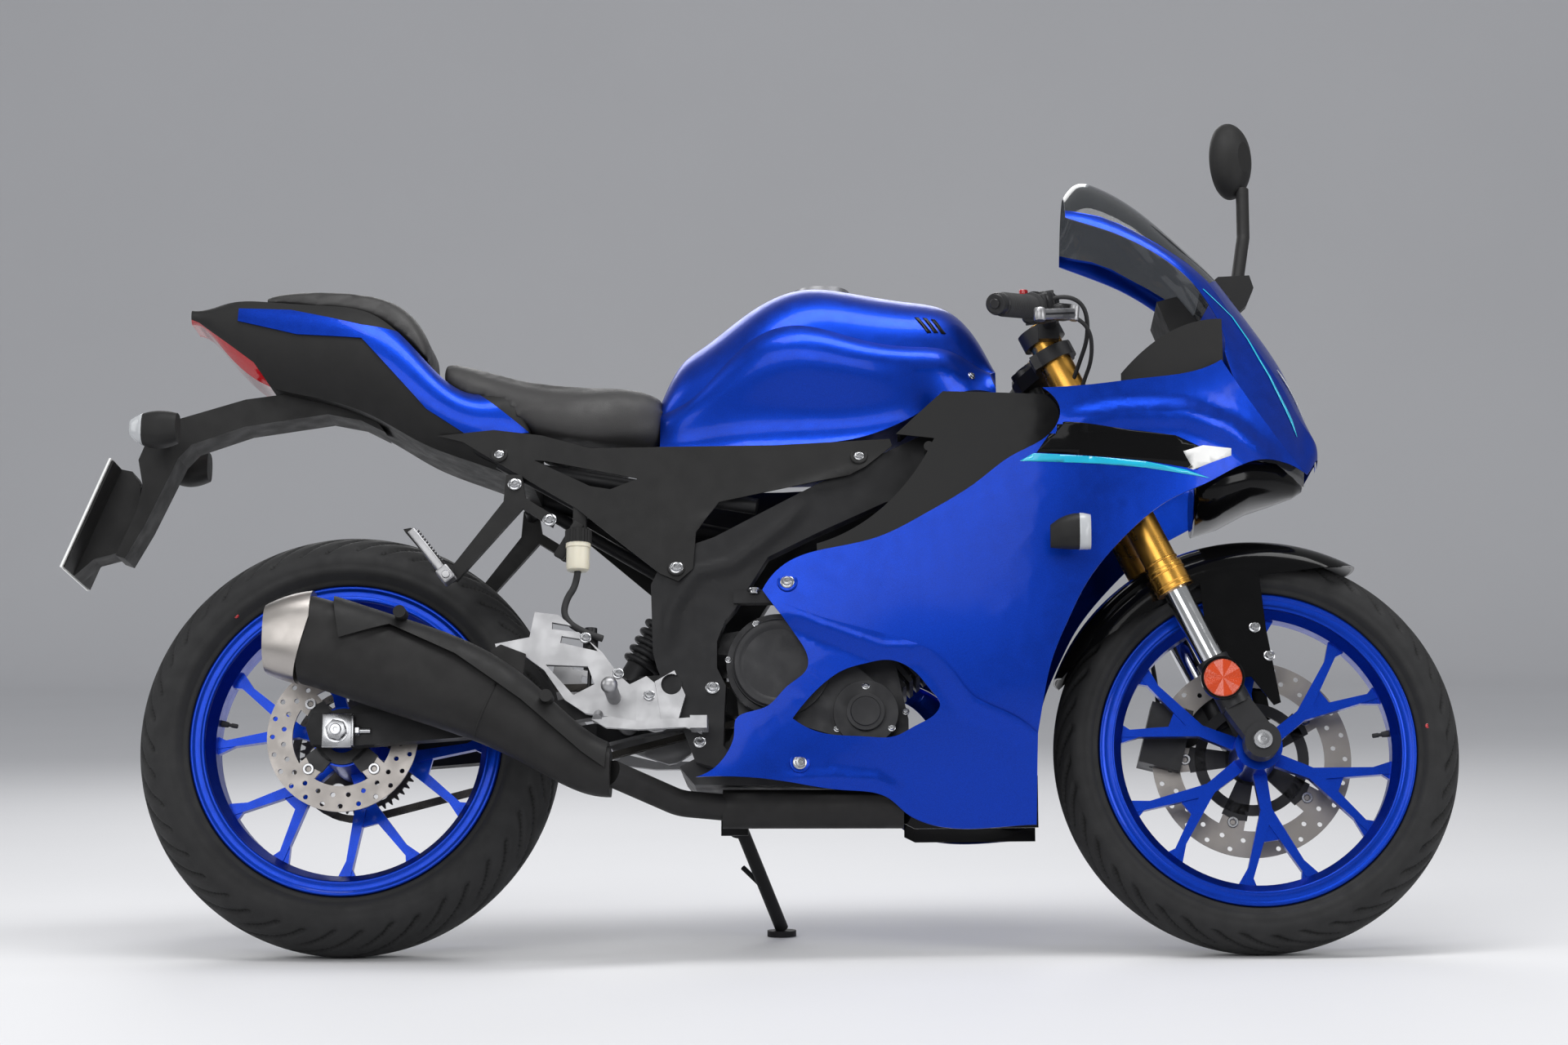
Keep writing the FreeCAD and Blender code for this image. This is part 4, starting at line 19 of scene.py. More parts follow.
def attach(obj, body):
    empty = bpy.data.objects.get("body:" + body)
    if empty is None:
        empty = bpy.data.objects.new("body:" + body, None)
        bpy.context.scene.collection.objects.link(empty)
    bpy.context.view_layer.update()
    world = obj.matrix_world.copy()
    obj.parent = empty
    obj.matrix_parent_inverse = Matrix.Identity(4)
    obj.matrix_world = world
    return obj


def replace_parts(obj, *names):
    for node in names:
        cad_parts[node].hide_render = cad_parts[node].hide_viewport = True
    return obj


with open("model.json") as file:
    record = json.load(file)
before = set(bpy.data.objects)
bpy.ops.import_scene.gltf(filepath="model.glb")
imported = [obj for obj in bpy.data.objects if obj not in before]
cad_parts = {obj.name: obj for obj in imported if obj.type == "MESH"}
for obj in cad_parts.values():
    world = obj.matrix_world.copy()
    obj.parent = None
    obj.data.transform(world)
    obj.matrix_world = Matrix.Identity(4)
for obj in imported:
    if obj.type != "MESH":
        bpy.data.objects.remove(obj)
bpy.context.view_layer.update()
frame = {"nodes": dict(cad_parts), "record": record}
nodes = frame["nodes"]

# The leaned bike stands on its lowest point, with the middle of its box over
# the origin; the shift is what takes it there.
LEAN = math.radians(13.0)
SHIFT = Vector((0.0664676, -0.1913391, 0.0020504))
UPRIGHT_TO_LEANED = Matrix.Translation(SHIFT) @ Matrix.Rotation(-LEAN, 4, "X")


def lean(x, y, z):
    """A point of the upright bike, in millimetres, in the leaned frame in metres."""
    return UPRIGHT_TO_LEANED @ Vector((x / 1000, y / 1000, z / 1000))


REAR_AXLE = Vector((-662.5, 0, 311.0))
FRONT_AXLE = Vector((662.5, 0, 293.37))
AXLES = {"front": FRONT_AXLE, "rear": REAR_AXLE}
RAKE = math.radians(26.0)
STEER_UP = Vector((-math.sin(RAKE), 0, math.cos(RAKE)))
STEER_AHEAD = Vector((math.cos(RAKE), 0, math.sin(RAKE)))
STEER_X = 757.5  # where the steering line meets the floor
LEG_Y, LEG_AHEAD = 98, 35  # a fork leg's place beside and ahead of that line
BOTH = (-1, 1)  # the right side of the bike is -1


def on_leg(height, side):
    """A point on a fork leg's middle line."""
    on_line = Vector((STEER_X - height * math.tan(RAKE), side * LEG_Y, height))
    return on_line + STEER_AHEAD * LEG_AHEAD


# %% [markdown]
# The camera stands on the bike's right, a little above the axles. Its place,
# turn and lens were worked out from the two wheels in the photograph, so the
# render can be laid over it.

# %% Camera
camera_data = bpy.data.cameras.new("photo_camera")
camera_data.sensor_width = 36.0
camera_data.lens = 79.56
camera = bpy.data.objects.new("photo_camera", camera_data)
camera.location = (0.2347, -5.1993, 0.6043)
camera.rotation_euler = [math.radians(a) for a in (90.280, 0.440, 2.152)]
bpy.context.scene.collection.objects.link(camera)
bpy.context.scene.camera = camera

# %% [markdown]
# A plain studio: a pale floor that turns up into a backdrop, and big soft
# lamps. Gloss paint needs something to mirror, so a long lamp hangs over the
# bike and a tall one stands ahead of it; they draw the bright lines along the
# tank and the fairing. The floor is a quarter-pipe made by one extrusion.

# %% Floor, backdrop and lamps
def link(name, mesh):
    """A new object with this mesh, in the scene."""
    piece = bpy.data.objects.new(name, mesh)
    bpy.context.scene.collection.objects.link(piece)
    return piece


def from_bmesh(name, bm, smooth=True):
    """Ends a bmesh: it becomes a mesh object with smooth or flat faces."""
    mesh = bpy.data.meshes.new(name)
    bm.to_mesh(mesh)
    bm.free()
    for face in mesh.polygons:
        face.use_smooth = smooth
    return link(name, mesh)


def studio_floor():
    """The floor's section is drawn at one end and pushed across."""
    bm = bmesh.new()
    front, back, bend, half_wide, top = -9.0, 9.0, 1.6, 12.0, 8.0
    path = [(front, 0.0)]
    for step in range(13):
        angle = math.radians(7.5 * step)
        path.append((back + bend * math.sin(angle), bend - bend * math.cos(angle)))
    path.append((back + bend, top))
    line = [bm.verts.new((-half_wide, y, z)) for y, z in path]
    edges = [bm.edges.new(pair) for pair in zip(line, line[1:])]
    swept = bmesh.ops.extrude_edge_only(bm, edges=edges)["geom"]
    moved = [v for v in swept if isinstance(v, bmesh.types.BMVert)]
    bmesh.ops.translate(bm, verts=moved, vec=(2 * half_wide, 0, 0))
    bmesh.ops.recalc_face_normals(bm, faces=bm.faces)
    return from_bmesh("studio_floor", bm)


floor = studio_floor()


def soft_lamp(name, place, aim, width, height, watts):
    """A rectangular lamp at place that faces aim."""
    data = bpy.data.lights.new(name, "AREA")
    data.shape = "RECTANGLE"
    data.size, data.size_y, data.energy = width, height, watts
    lamp = bpy.data.objects.new(name, data)
    lamp.location = place
    lamp.rotation_euler = (Vector(aim) - Vector(place)).to_track_quat("-Z", "Y").to_euler()
    bpy.context.scene.collection.objects.link(lamp)


soft_lamp("over_lamp", (0.3, -0.7, 3.4), (0, 0, 0.5), 3.6, 0.9, 78)
soft_lamp("camera_lamp", (-1.1, -4.4, 2.4), (0, 0, 0.5), 3.8, 2.2, 66)
soft_lamp("nose_lamp", (3.6, -2.2, 1.7), (0.3, 0, 0.6), 1.2, 2.2, 46)
soft_lamp("far_lamp", (-0.6, 3.2, 2.6), (0, 0, 0.6), 3.0, 1.6, 42)
soft_lamp("tail_lamp_light", (-3.6, -0.6, 1.9), (-0.4, 0, 0.6), 1.2, 1.8, 26)

# %% [markdown]
# The air glows a little. The camera, and rays that are mirrored or go through
# clear parts, see an even pale grey; all other rays get a cooler light, which
# fills the shadows.

# %% Air
def glow(colour, strength):
    """An even light from all around."""
    node = tree.nodes.new("ShaderNodeBackground")
    node.inputs["Color"].default_value = (*colour, 1)
    node.inputs["Strength"].default_value = strength
    return node.outputs[0]


scene = bpy.context.scene
scene.view_settings.view_transform = "Standard"
world = bpy.data.worlds.new("studio_air")
scene.world = world
world.use_nodes = True
tree = world.node_tree
tree.nodes.clear()
ray = tree.nodes.new("ShaderNodeLightPath")
seen = ray.outputs["Is Camera Ray"]
for kind in ("Is Glossy Ray", "Is Transmission Ray"):
    either_ray = tree.nodes.new("ShaderNodeMath")
    either_ray.operation = "MAXIMUM"
    tree.links.new(seen, either_ray.inputs[0])
    tree.links.new(ray.outputs[kind], either_ray.inputs[1])
    seen = either_ray.outputs[0]
either = tree.nodes.new("ShaderNodeMixShader")
air = tree.nodes.new("ShaderNodeOutputWorld")
tree.links.new(seen, either.inputs[0])
tree.links.new(glow((0.93, 0.95, 1.0), 0.42), either.inputs[1])
tree.links.new(glow((0.90, 0.91, 0.92), 0.4), either.inputs[2])
tree.links.new(either.outputs[0], air.inputs[0])

# %% [markdown]
# Every finish is made from the same few nodes. A noise in the object's own
# coordinates shifts the colour and the roughness a little, as dust, handling
# and casting do, and a finer one gives the surface its grain as a bump. The
# helper below builds that chain; each finish then adds what is its own.

# %% A helper for finishes
class Finish:
    """A material under construction, with its shader and object coordinates at hand."""

    def __init__(self, name, colour, metallic, roughness, **sockets):
        self.material = bpy.data.materials.new(name)
        self.material.use_nodes = True
        self.tree = self.material.node_tree
        self.shader = self.tree.nodes["Principled BSDF"]
        self.place = self.tree.nodes.new("ShaderNodeTexCoord").outputs["Object"]
        self.colour = colour
        self.set("Base Color", (*colour, 1))
        self.set("Metallic", metallic)
        self.set("Roughness", roughness)
        for socket, value in sockets.items():
            self.set(socket.replace("_", " "), value)

    def set(self, socket, value):
        """A fixed value for one of the shader's sockets."""
        self.shader.inputs[socket].default_value = value

    def add(self, kind, links=(), **values):
        """A node of this kind; values go to its attributes, or else to its sockets."""
        node = self.tree.nodes.new("ShaderNode" + kind)
        for key, value in values.items():
            if hasattr(node, key):
                setattr(node, key, value)
            else:
                node.inputs[key.replace("_", " ")].default_value = value
        for socket, source in links:
            self.tree.links.new(source, node.inputs[socket])
        return node

    def noise(self, scale, detail=3.0, stretch=None):
        """A noise over the piece; with a stretch, it runs in streaks."""
        place = self.place
        if stretch:
            place = self.add("Mapping", [("Vector", place)], Scale=stretch).outputs[0]
        return self.add("TexNoise", [("Vector", place)], Scale=scale, Detail=detail).outputs[0]

    def spread(self, source, low, high, start=0.35, end=0.65):
        """Takes a noise of about 0 to 1 to the range low to high."""
        return self.add(
            "MapRange", [("Value", source)],
            From_Min=start, From_Max=end, To_Min=low, To_Max=high,
        ).outputs[0]

    def tint(self, source, darker, lighter):
        """The base colour wanders between two shares of itself."""
        mix = self.add("Mix", [("Factor", source)], data_type="RGBA")
        colours = [s for s in mix.inputs if s.type == "RGBA"]
        colours[0].default_value = (*[c * darker for c in self.colour], 1)
        colours[1].default_value = (*[min(1.0, c * lighter) for c in self.colour], 1)
        result = next(s for s in mix.outputs if s.type == "RGBA")
        self.tree.links.new(result, self.shader.inputs["Base Color"])
        return result

    def rough(self, source, low, high):
        """The roughness wanders between low and high."""
        self.tree.links.new(self.spread(source, low, high), self.shader.inputs["Roughness"])

    def bump(self, source, strength, distance=0.0004):
        """Stacks a height on whatever already drives the normal."""
        below = self.shader.inputs["Normal"].links
        node = self.add("Bump", [("Height", source)], Strength=strength, Distance=distance)
        if below:
            self.tree.links.new(below[0].from_socket, node.inputs["Normal"])
        self.tree.links.new(node.outputs[0], self.shader.inputs["Normal"])


finishes = {}


def plain_finish(slot, colour, metallic, roughness, grain, depth, **sockets):
    """Paint, plastic or metal with wandering tone and roughness and a fine grain."""
    made = Finish(slot, colour, metallic, sum(roughness) / 2, **sockets)
    made.tint(made.noise(14.0), 0.86, 1.14)
    made.rough(made.noise(38.0, 5.0), *roughness)
    made.bump(made.noise(grain, 2.0), depth)
    finishes[slot] = made
    return made


# %% [markdown]
# The body paint is a deep metallic blue under clear lacquer. Metal flakes lie
# in the colour coat: a fine Voronoi pattern gives each flake its own tilt and
# brightness, while the lacquer, the shader's coat, stays smooth on top. Its
# base is mostly metallic, so that it is bright where it faces a lamp and dark
# where it turns away, as such paint is.

# %% Paints and lacquers
def metallic_paint(slot, colour):
    """Flakes under lacquer; about 2600 of them lie along a metre."""
    made = Finish(slot, colour, 0.92, 0.36, Coat_Weight=0.3, Coat_Roughness=0.1, Coat_IOR=1.38)
    flakes = made.add("TexVoronoi", [("Vector", made.place)], Scale=2600.0)
    made.tint(made.spread(flakes.outputs["Color"], 0.0, 1.0, 0.2, 0.8), 0.8, 1.35)
    made.rough(made.noise(60.0), 0.33, 0.4)
    made.bump(flakes.outputs["Distance"], 0.16, 0.0002)
    finishes[slot] = made


metallic_paint("blue_paint", (0.001, 0.034, 0.37))
plain_finish("gloss_black", (0.003, 0.003, 0.0033), 0.0, (0.08, 0.13), 40.0, 0.0, IOR=1.24)
plain_finish("frame_paint", (0.0115, 0.0115, 0.0125), 0.15, (0.42, 0.56), 900.0, 0.16, IOR=1.32)
plain_finish("engine_metal", (0.019, 0.019, 0.021), 0.35, (0.42, 0.6), 700.0, 0.22)
plain_finish("dark_casting", (0.014, 0.014, 0.0155), 0.3, (0.36, 0.5), 800.0, 0.14)
plain_finish("plate_white", (0.78, 0.78, 0.76), 0.0, (0.28, 0.4), 300.0, 0.05)

# %% [markdown]
# Trim panels are moulded in dark plastic with a fine pebbled texture, which
# a Voronoi bump gives; it keeps them dull beside the paint. Grips are softer.

# %% Moulded plastics and rubber
moulded = plain_finish(
    "matte_black", (0.012, 0.0118, 0.0118), 0.0, (0.5, 0.64), 1400.0, 0.1, IOR=1.32,
)
pebbles = moulded.add("TexVoronoi", [("Vector", moulded.place)], Scale=1500.0)
moulded.bump(pebbles.outputs["Distance"], 0.22, 0.0003)
plain_finish("grip_rubber", (0.017, 0.017, 0.018), 0.0, (0.62, 0.8), 900.0, 0.3)
plain_finish("tyre_rubber", (0.018, 0.018, 0.0185), 0.0, (0.62, 0.8), 1100.0, 0.28, IOR=1.36)
# Painted shade: the bottoms of the tread grooves wear this far darker rubber.
plain_finish("groove_painted_shade", (0.003, 0.003, 0.003), 0.0, (0.8, 0.9), 900.0, 0.1)
vinyl = plain_finish("seat_vinyl", (0.021, 0.02, 0.02), 0.0, (0.46, 0.6), 500.0, 0.1)
grain = vinyl.add("TexVoronoi", [("Vector", vinyl.place)], Scale=620.0, feature="DISTANCE_TO_EDGE")
vinyl.bump(grain.outputs["Distance"], 0.5, 0.0005)
reservoir = plain_finish(
    "reservoir_plastic", (0.68, 0.64, 0.52), 0.0, (0.34, 0.46), 300.0, 0.05,
    Subsurface_Weight=0.35,
)
reservoir.set("Subsurface Radius", (0.006, 0.005, 0.003))

# %% [markdown]
# Metals. Anodised fork tubes are satin gold; the inner tubes are hard chrome.
# Discs are ground and the silencer's cap is brushed, so their marks run one
# way: the noise is stretched. The silencer's can is a dark heat-proof coat.

# %% Metals
plain_finish("gold_anodising", (0.68, 0.36, 0.07), 1.0, (0.24, 0.34), 500.0, 0.05)
plain_finish("hard_chrome", (0.62, 0.63, 0.65), 1.0, (0.06, 0.12), 200.0, 0.02)
disc = plain_finish("disc_steel", (0.30, 0.28, 0.265), 1.0, (0.34, 0.46), 600.0, 0.08)
disc.bump(disc.noise(240.0, 2.0, (1.0, 1.0, 9.0)), 0.14)
brushed = plain_finish("brushed_steel", (0.40, 0.375, 0.355), 1.0, (0.32, 0.42), 500.0, 0.05)
brushed.bump(brushed.noise(420.0, 2.0, (12.0, 12.0, 1.0)), 0.12)
plain_finish("satin_exhaust", (0.018, 0.0175, 0.0175), 0.35, (0.5, 0.66), 1300.0, 0.2, IOR=1.36)
plain_finish("cast_silver", (0.36, 0.36, 0.37), 1.0, (0.36, 0.5), 1200.0, 0.2)
plain_finish("zinc_plate", (0.42, 0.425, 0.44), 1.0, (0.2, 0.3), 700.0, 0.05)
plain_finish("chain_steel", (0.06, 0.056, 0.052), 1.0, (0.36, 0.56), 700.0, 0.16)

# %% [markdown]
# Lenses and the screen. The screen is smoked acrylic, thin and clear, so it
# is mostly transmission with a dark tint. The tail lens is deep red with the
# small prisms behind it as a bump.

# %% Clear parts
plain_finish(
    "smoke_screen", (0.16, 0.17, 0.18), 0.0, (0.03, 0.07), 40.0, 0.01,
    Transmission_Weight=0.86, IOR=1.3,
)
plain_finish("lamp_lens", (0.035, 0.036, 0.04), 0.0, (0.04, 0.1), 60.0, 0.02, Coat_Weight=0.6)
plain_finish(
    "clear_lens", (0.66, 0.68, 0.7), 0.0, (0.05, 0.12), 60.0, 0.02,
    Transmission_Weight=0.35, IOR=1.4,
)
red = plain_finish(
    "red_lens", (0.34, 0.004, 0.008), 0.0, (0.06, 0.14), 80.0, 0.02, Coat_Weight=0.6,
)
amber = plain_finish(
    "amber_lens", (0.52, 0.045, 0.002), 0.0, (0.08, 0.16), 80.0, 0.02, Coat_Weight=0.6,
)
cells = amber.add("TexVoronoi", [("Vector", amber.place)], Scale=420.0)
amber.bump(cells.outputs["Distance"], 0.4, 0.0008)
plain_finish("cyan_film", (0.0, 0.42, 0.62), 0.0, (0.16, 0.24), 300.0, 0.02, Coat_Weight=0.5)
plain_finish("mirror_glass", (0.82, 0.84, 0.86), 1.0, (0.02, 0.04), 60.0, 0.0)
prisms = red.add("TexChecker", [("Vector", red.place)], Scale=260.0)
red.bump(prisms.outputs["Fac"], 0.12, 0.0006)

# %% [markdown]
# Every CAD part names its slot in the record. The part wears that slot's
# finish; pieces that replace it later name that slot again to pick their finish.

# %% Give every CAD node its finish
slot_of = {part["node"]: part["material_slot"] for part in frame["record"]["subparts"]}
for name, node in nodes.items():
    node.data.materials.clear()
    node.data.materials.append(finishes[slot_of[name]].material)
    print(name, "wears", slot_of[name])

# %% [markdown]
# The floor is matt studio paint with a faint unevenness.

# %% Floor finish
pale = Finish("studio_paint", (0.74, 0.74, 0.75), 0.0, 0.6)
pale.tint(pale.noise(1.2, 4.0), 0.97, 1.02)
pale.bump(pale.noise(120.0), 0.03)
floor.data.materials.append(pale.material)

# %% [markdown]
# Pieces are shaped upright in millimetres, as the bike was drawn, and one
# matrix takes the finished mesh to the leaned frame. `shaped` does that last
# step: it merges doubles, turns every face outwards, and has the piece dressed
# in its finish and handed to the body that it moves with.

# %% From upright millimetres to a finished piece
DRAWN_TO_ROW = UPRIGHT_TO_LEANED @ Matrix.Scale(0.001, 4)


def dressed(piece, body, slot, finish=None):
    """Gives a piece its finish, the named one or else the slot's, and the body it moves with."""
    piece.data.materials.append(finishes[finish or slot].material)
    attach(piece, body)
    print(piece.name, len(piece.data.polygons), "faces, on", body)


def crease(piece, degrees):
    """Keeps edges that turn by more than this sharp in the shading."""
    bm = bmesh.new()
    bm.from_mesh(piece.data)
    for edge in bm.edges:
        if edge.calc_face_angle(0.0) > math.radians(degrees):
            edge.smooth = False
    bm.to_mesh(piece.data)
    bm.free()


def shaped(name, bm, body, slot, sharp=None, finish=None, smooth=True, merge=True):
    """Ends a bmesh that was built upright in millimetres; the piece rides on a body."""
    if merge:
        bmesh.ops.remove_doubles(bm, verts=bm.verts, dist=0.01)
        bmesh.ops.recalc_face_normals(bm, faces=bm.faces)
    bm.transform(DRAWN_TO_ROW)
    piece = from_bmesh(name, bm, smooth)
    dressed(piece, body, slot, finish)
    if sharp:
        crease(piece, sharp)
    return piece


# %% [markdown]
# The tyres. A tyre is a ring, so its section is drawn once and spun round the
# axle. The section is finer over the tread, because the grooves are pressed
# into the mesh afterwards: each vertex of the tread asks how far it is from
# the nearest groove and sinks if it is inside. Long grooves sweep from near
# the middle to the shoulder, a short one lies between each pair, and the two
# sides are half a step apart, as road patterns are. Faces deep in a groove
# get a far darker rubber: that darkness is painted shade.

# %% Treaded tyres
FLANGE_RADIUS, BEAD_RADIUS = 229.8, 217.5  # of the rims' edges and of the tyres' beads
MIDDLE_RIB = 7.0  # half the width of the plain band in the middle of the tread
# Each kind of groove: its offset in steps, the first and last share of the way
# to the shoulder that it takes, and its depth.
GROOVES = ((0.0, 0.0, 0.96, 5.2), (0.5, 0.42, 1.0, 4.6))


def tyre_section(radius, width, crown, rim_width, tread_rows):
    """The closed section as (across, out) pairs, with the tread's rows first."""
    half, reach = width / 2, width / 2 * 0.94
    drop = crown - math.sqrt(crown ** 2 - reach ** 2)
    limit = math.asin(reach / crown)
    tread = []
    for row in range(tread_rows + 1):
        a = limit * (2 * row / tread_rows - 1)
        tread.append((crown * math.sin(a), radius - crown + crown * math.cos(a)))
    shoulder, flange, bead = radius - drop, FLANGE_RADIUS, BEAD_RADIUS
    mid = (shoulder + flange) / 2 + 4
    lip = rim_width / 2 - 5.0
    wall = [
        (half * 0.985, shoulder - (shoulder - mid) * 0.4),
        (half, mid + 3), (half - 0.9, mid), (half, mid - 3),
        (half * 0.975, mid - (mid - flange) * 0.45),
        (lip + 10, flange + 9), (lip + 8.5, flange + 6), (lip + 8.5, flange + 3),
        (lip + 4, flange), (lip, flange), (lip, bead),
    ]
    inside = [(lip - 9, bead), (reach - 10, shoulder - 12), (reach * 0.5, radius - 13)]
    right = wall + inside
    left = [(-y, r) for y, r in reversed(right)]
    return left[3:] + tread + right + [(0.0, radius - 11)] + left[:3]


def groove_depth(turn, across, reach, radius, steps, sweep):
    """How deep the tread is cut at this turn, in radians, and place across, in mm."""
    share = (abs(across) - MIDDLE_RIB) / (reach - MIDDLE_RIB)
    if share < 0 or share > 1:
        return 0.0
    step = 2 * math.pi / steps
    side = 0.5 if across < 0 else 0.0
    depth = 0.0
    for start, first, last, deep in GROOVES:
        if not first <= share <= last:
            continue
        centre = (start + side) * step + sweep * share ** 0.75
        slope = sweep * 0.75 * max(share, 0.04) ** -0.25 * radius / (reach - MIDDLE_RIB)
        away = (turn - centre + step / 2) % step - step / 2
        away = abs(away) * radius / math.sqrt(1 + slope ** 2)
        half_wide = 1.4 + 1.2 * share
        taper = min(1.0, (share - first) / 0.08, (last - share) / 0.06)
        wall = min(1.0, (half_wide + 0.8 - away) / 1.4)
        if wall > 0:
            depth = max(depth, deep * max(0.0, taper) * wall)
    return depth


def treaded_tyre(end, radius, width, crown, rim_width, steps, sweep):
    """Steps is the count of long grooves on a side; sweep is their lean, in radians.

    Crown is the radius of the tread across the tyre.
    """
    axle = AXLES[end]
    rows, turns = 40, 840
    section = tyre_section(radius, width, crown, rim_width, rows)
    bm = bmesh.new()
    ring = [bm.verts.new((axle.x, axle.y + y, axle.z + r)) for y, r in section]
    edges = [bm.edges.new(pair) for pair in zip(ring, ring[1:] + ring[:1])]
    bmesh.ops.spin(
        bm, geom=ring + edges, cent=axle, axis=(0, 1, 0), angle=2 * math.pi,
        steps=turns, use_merge=True,
    )
    reach = width / 2 * 0.94
    painted_shade_verts = set()
    for vert in bm.verts:
        away = vert.co - axle
        out = math.hypot(away.x, away.z)
        tread_radius = radius - crown + math.sqrt(crown ** 2 - away.y ** 2)
        if out < tread_radius - 2.0 or abs(away.y) > reach:
            continue
        turn = math.atan2(away.x, away.z)
        depth = groove_depth(turn, away.y, reach, radius, steps, sweep)
        if depth:
            middle = axle + Vector((away.x, 0, away.z)) * ((radius - crown) / out)
            vert.co += (middle - vert.co).normalized() * depth
            if depth > 0.6:
                painted_shade_verts.add(vert)
    # Faces lying deep in a groove take the second material, which is painted shade.
    for face in bm.faces:
        if all(v in painted_shade_verts for v in face.verts):
            face.material_index = 1
    tyre = shaped(end + "_tread", bm, end + "_wheel", "tyre_rubber")
    tyre.data.materials.append(finishes["groove_painted_shade"].material)
    return tyre


rear_tread = treaded_tyre(
    "rear", radius=311.0, width=140.0, crown=80.0, rim_width=104.0, steps=21, sweep=-0.44,
)
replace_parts(rear_tread, "rear_tyre")
front_tread = treaded_tyre(
    "front", radius=294.0, width=100.0, crown=56.0, rim_width=72.0, steps=20, sweep=0.44,
)
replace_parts(front_tread, "front_tyre")

# %% [markdown]
# The seats are foam under stretched vinyl. Each starts as a copy of its CAD
# solid: a voxel remesh rounds it and gives it even faces, then a cloth
# simulation with pressure inside pulls the cover taut over its corners. How
# far a point may move is capped, because seat foam is firm.

# %% Padded seats
VOXEL, SOFTENINGS, CLOTH_STEPS, PRESSURE = 0.005, 14, 15, 4.0


def merged_copy(node):
    """A bmesh of a CAD node's triangles, joined along their edges."""
    bm = bmesh.new()
    bm.from_mesh(nodes[node].data)
    bmesh.ops.remove_doubles(bm, verts=bm.verts, dist=0.00002)
    return bm


def with_modifiers(piece):
    """Applies what is on the modifier stack."""
    graph = bpy.context.evaluated_depsgraph_get()
    mesh = bpy.data.meshes.new_from_object(piece.evaluated_get(graph))
    piece.modifiers.clear()
    piece.data = mesh
    for face in mesh.polygons:
        face.use_smooth = True


def upholstered(name, node, cap):
    """A padded seat over a node; cap is how far, in metres, the cloth may move a point."""
    piece = from_bmesh(name, merged_copy(node))
    remesh = piece.modifiers.new("even", "REMESH")
    remesh.mode = "VOXEL"
    remesh.voxel_size = VOXEL
    with_modifiers(piece)
    soften = piece.modifiers.new("soften", "SMOOTH")
    soften.iterations = SOFTENINGS
    with_modifiers(piece)
    start = [v.co.copy() for v in piece.data.vertices]
    cloth = piece.modifiers.new("vinyl", "CLOTH")
    cloth.settings.use_pressure = True
    cloth.settings.uniform_pressure_force = PRESSURE
    cloth.settings.effector_weights.gravity = 0.0
    cloth.settings.quality = 4
    for step in range(1, CLOTH_STEPS + 1):
        bpy.context.scene.frame_set(step)
    with_modifiers(piece)
    bpy.context.scene.frame_set(1)
    for vert, before in zip(piece.data.vertices, start):
        move = vert.co - before
        if move.length > cap:
            vert.co = before + move * (cap / move.length)
    dressed(piece, "chassis", "seat_vinyl")
    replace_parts(piece, node)


upholstered("rider_pad", "rider_seat", 0.004)
upholstered("pillion_pad", "pillion_seat", 0.004)

# %% [markdown]
# Turned parts, such as grips, caps, nuts and weights, are all one idea: a
# half outline spun round a line. `lathe` takes the outline as radius and
# place along that line, so a part reads like a drawing for a turner. Flat
# parts are one face pushed out to a thickness, which is what `plate` does.

# %% A lathe and a plate
def lathe(bm, outline, place, way, turns):
    """Spins (radius, along) pairs round the line from place along way, in upright mm."""
    turn = Vector(way).to_track_quat("Z", "Y").to_matrix().to_4x4()
    stand = Matrix.Translation(Vector(place)) @ turn
    line = [bm.verts.new(stand @ Vector((r, 0, h))) for r, h in outline]
    edges = [bm.edges.new(pair) for pair in zip(line, line[1:])]
    bmesh.ops.spin(
        bm, geom=line + edges, cent=stand.translation, axis=stand.to_3x3() @ Vector((0, 0, 1)),
        angle=2 * math.pi, steps=turns, use_merge=True,
    )


def plate(bm, corners, low, high):
    """A flat plate with these (x, z) corners, from y = low to y = high."""
    face = bm.faces.new([bm.verts.new((x, low, z)) for x, z in corners])
    swept = bmesh.ops.extrude_face_region(bm, geom=[face], use_keep_orig=True)["geom"]
    moved = [v for v in swept if isinstance(v, bmesh.types.BMVert)]
    bmesh.ops.translate(bm, verts=moved, vec=(0, high - low, 0))


def around(axle, radius, degrees):
    """The (x, z) point at this radius and angle from an axle."""
    angle = math.radians(degrees)
    return axle.x + radius * math.cos(angle), axle.z + radius * math.sin(angle)


def rod(radius, low, high):
    """A plain cylinder's outline."""
    return [(0, low), (radius, low), (radius, high), (0, high)]


def pin(radius, half, inward=1, back=1):
    """A cylinder's outline with both ends cut off at a slant."""
    return [
        (0, -half), (radius - inward, -half), (radius, back - half),
        (radius, half - back), (radius - inward, half), (0, half),
    ]


def turned(name, body, slot, parts, sharp=None, finish=None):
    """One piece of many (outline, place, way, turns)."""
    bm = bmesh.new()
    for outline, place, way, turns in parts:
        lathe(bm, outline, place, way, turns)
    return shaped(name, bm, body, slot, sharp, finish)


def outward(name, body, slot, outline, place, turns, sharp=None, finish=None):
    """One outline on both sides of the bike, facing away from it."""
    x, y, z = place
    turned(name, body, slot, [
        (outline, (x, side * y, z), (0, side, 0), turns) for side in BOTH
    ], sharp, finish)


def flat(name, slot, corners, spans, sharp=None):
    """One outline as a plate over each (low, high) span across the bike."""
    bm = bmesh.new()
    for low, high in spans:
        plate(bm, corners, low, high)
    shaped(name, bm, "chassis", slot, sharp)


def radial(degrees):
    """The way out from an axle at this angle."""
    angle = math.radians(degrees)
    return Vector((math.cos(angle), 0, math.sin(angle)))


# %% [markdown]
# The grips are rubber sleeves with fine rings and a flange at their inner
# end. Outside each one a turned weight ends the bar; it damps its shaking.

# %% Grips and bar weights
BAR_ENDS = {side: Vector((292, side * 348, 874)) for side in BOTH}
BAR_INWARD = {
    side: (Vector((372, side * 176, 918)) - BAR_ENDS[side]).normalized() for side in BOTH
}
BAR_AHEAD = {side: Vector((0.86, side * 0.42, -0.28)).normalized() for side in BOTH}

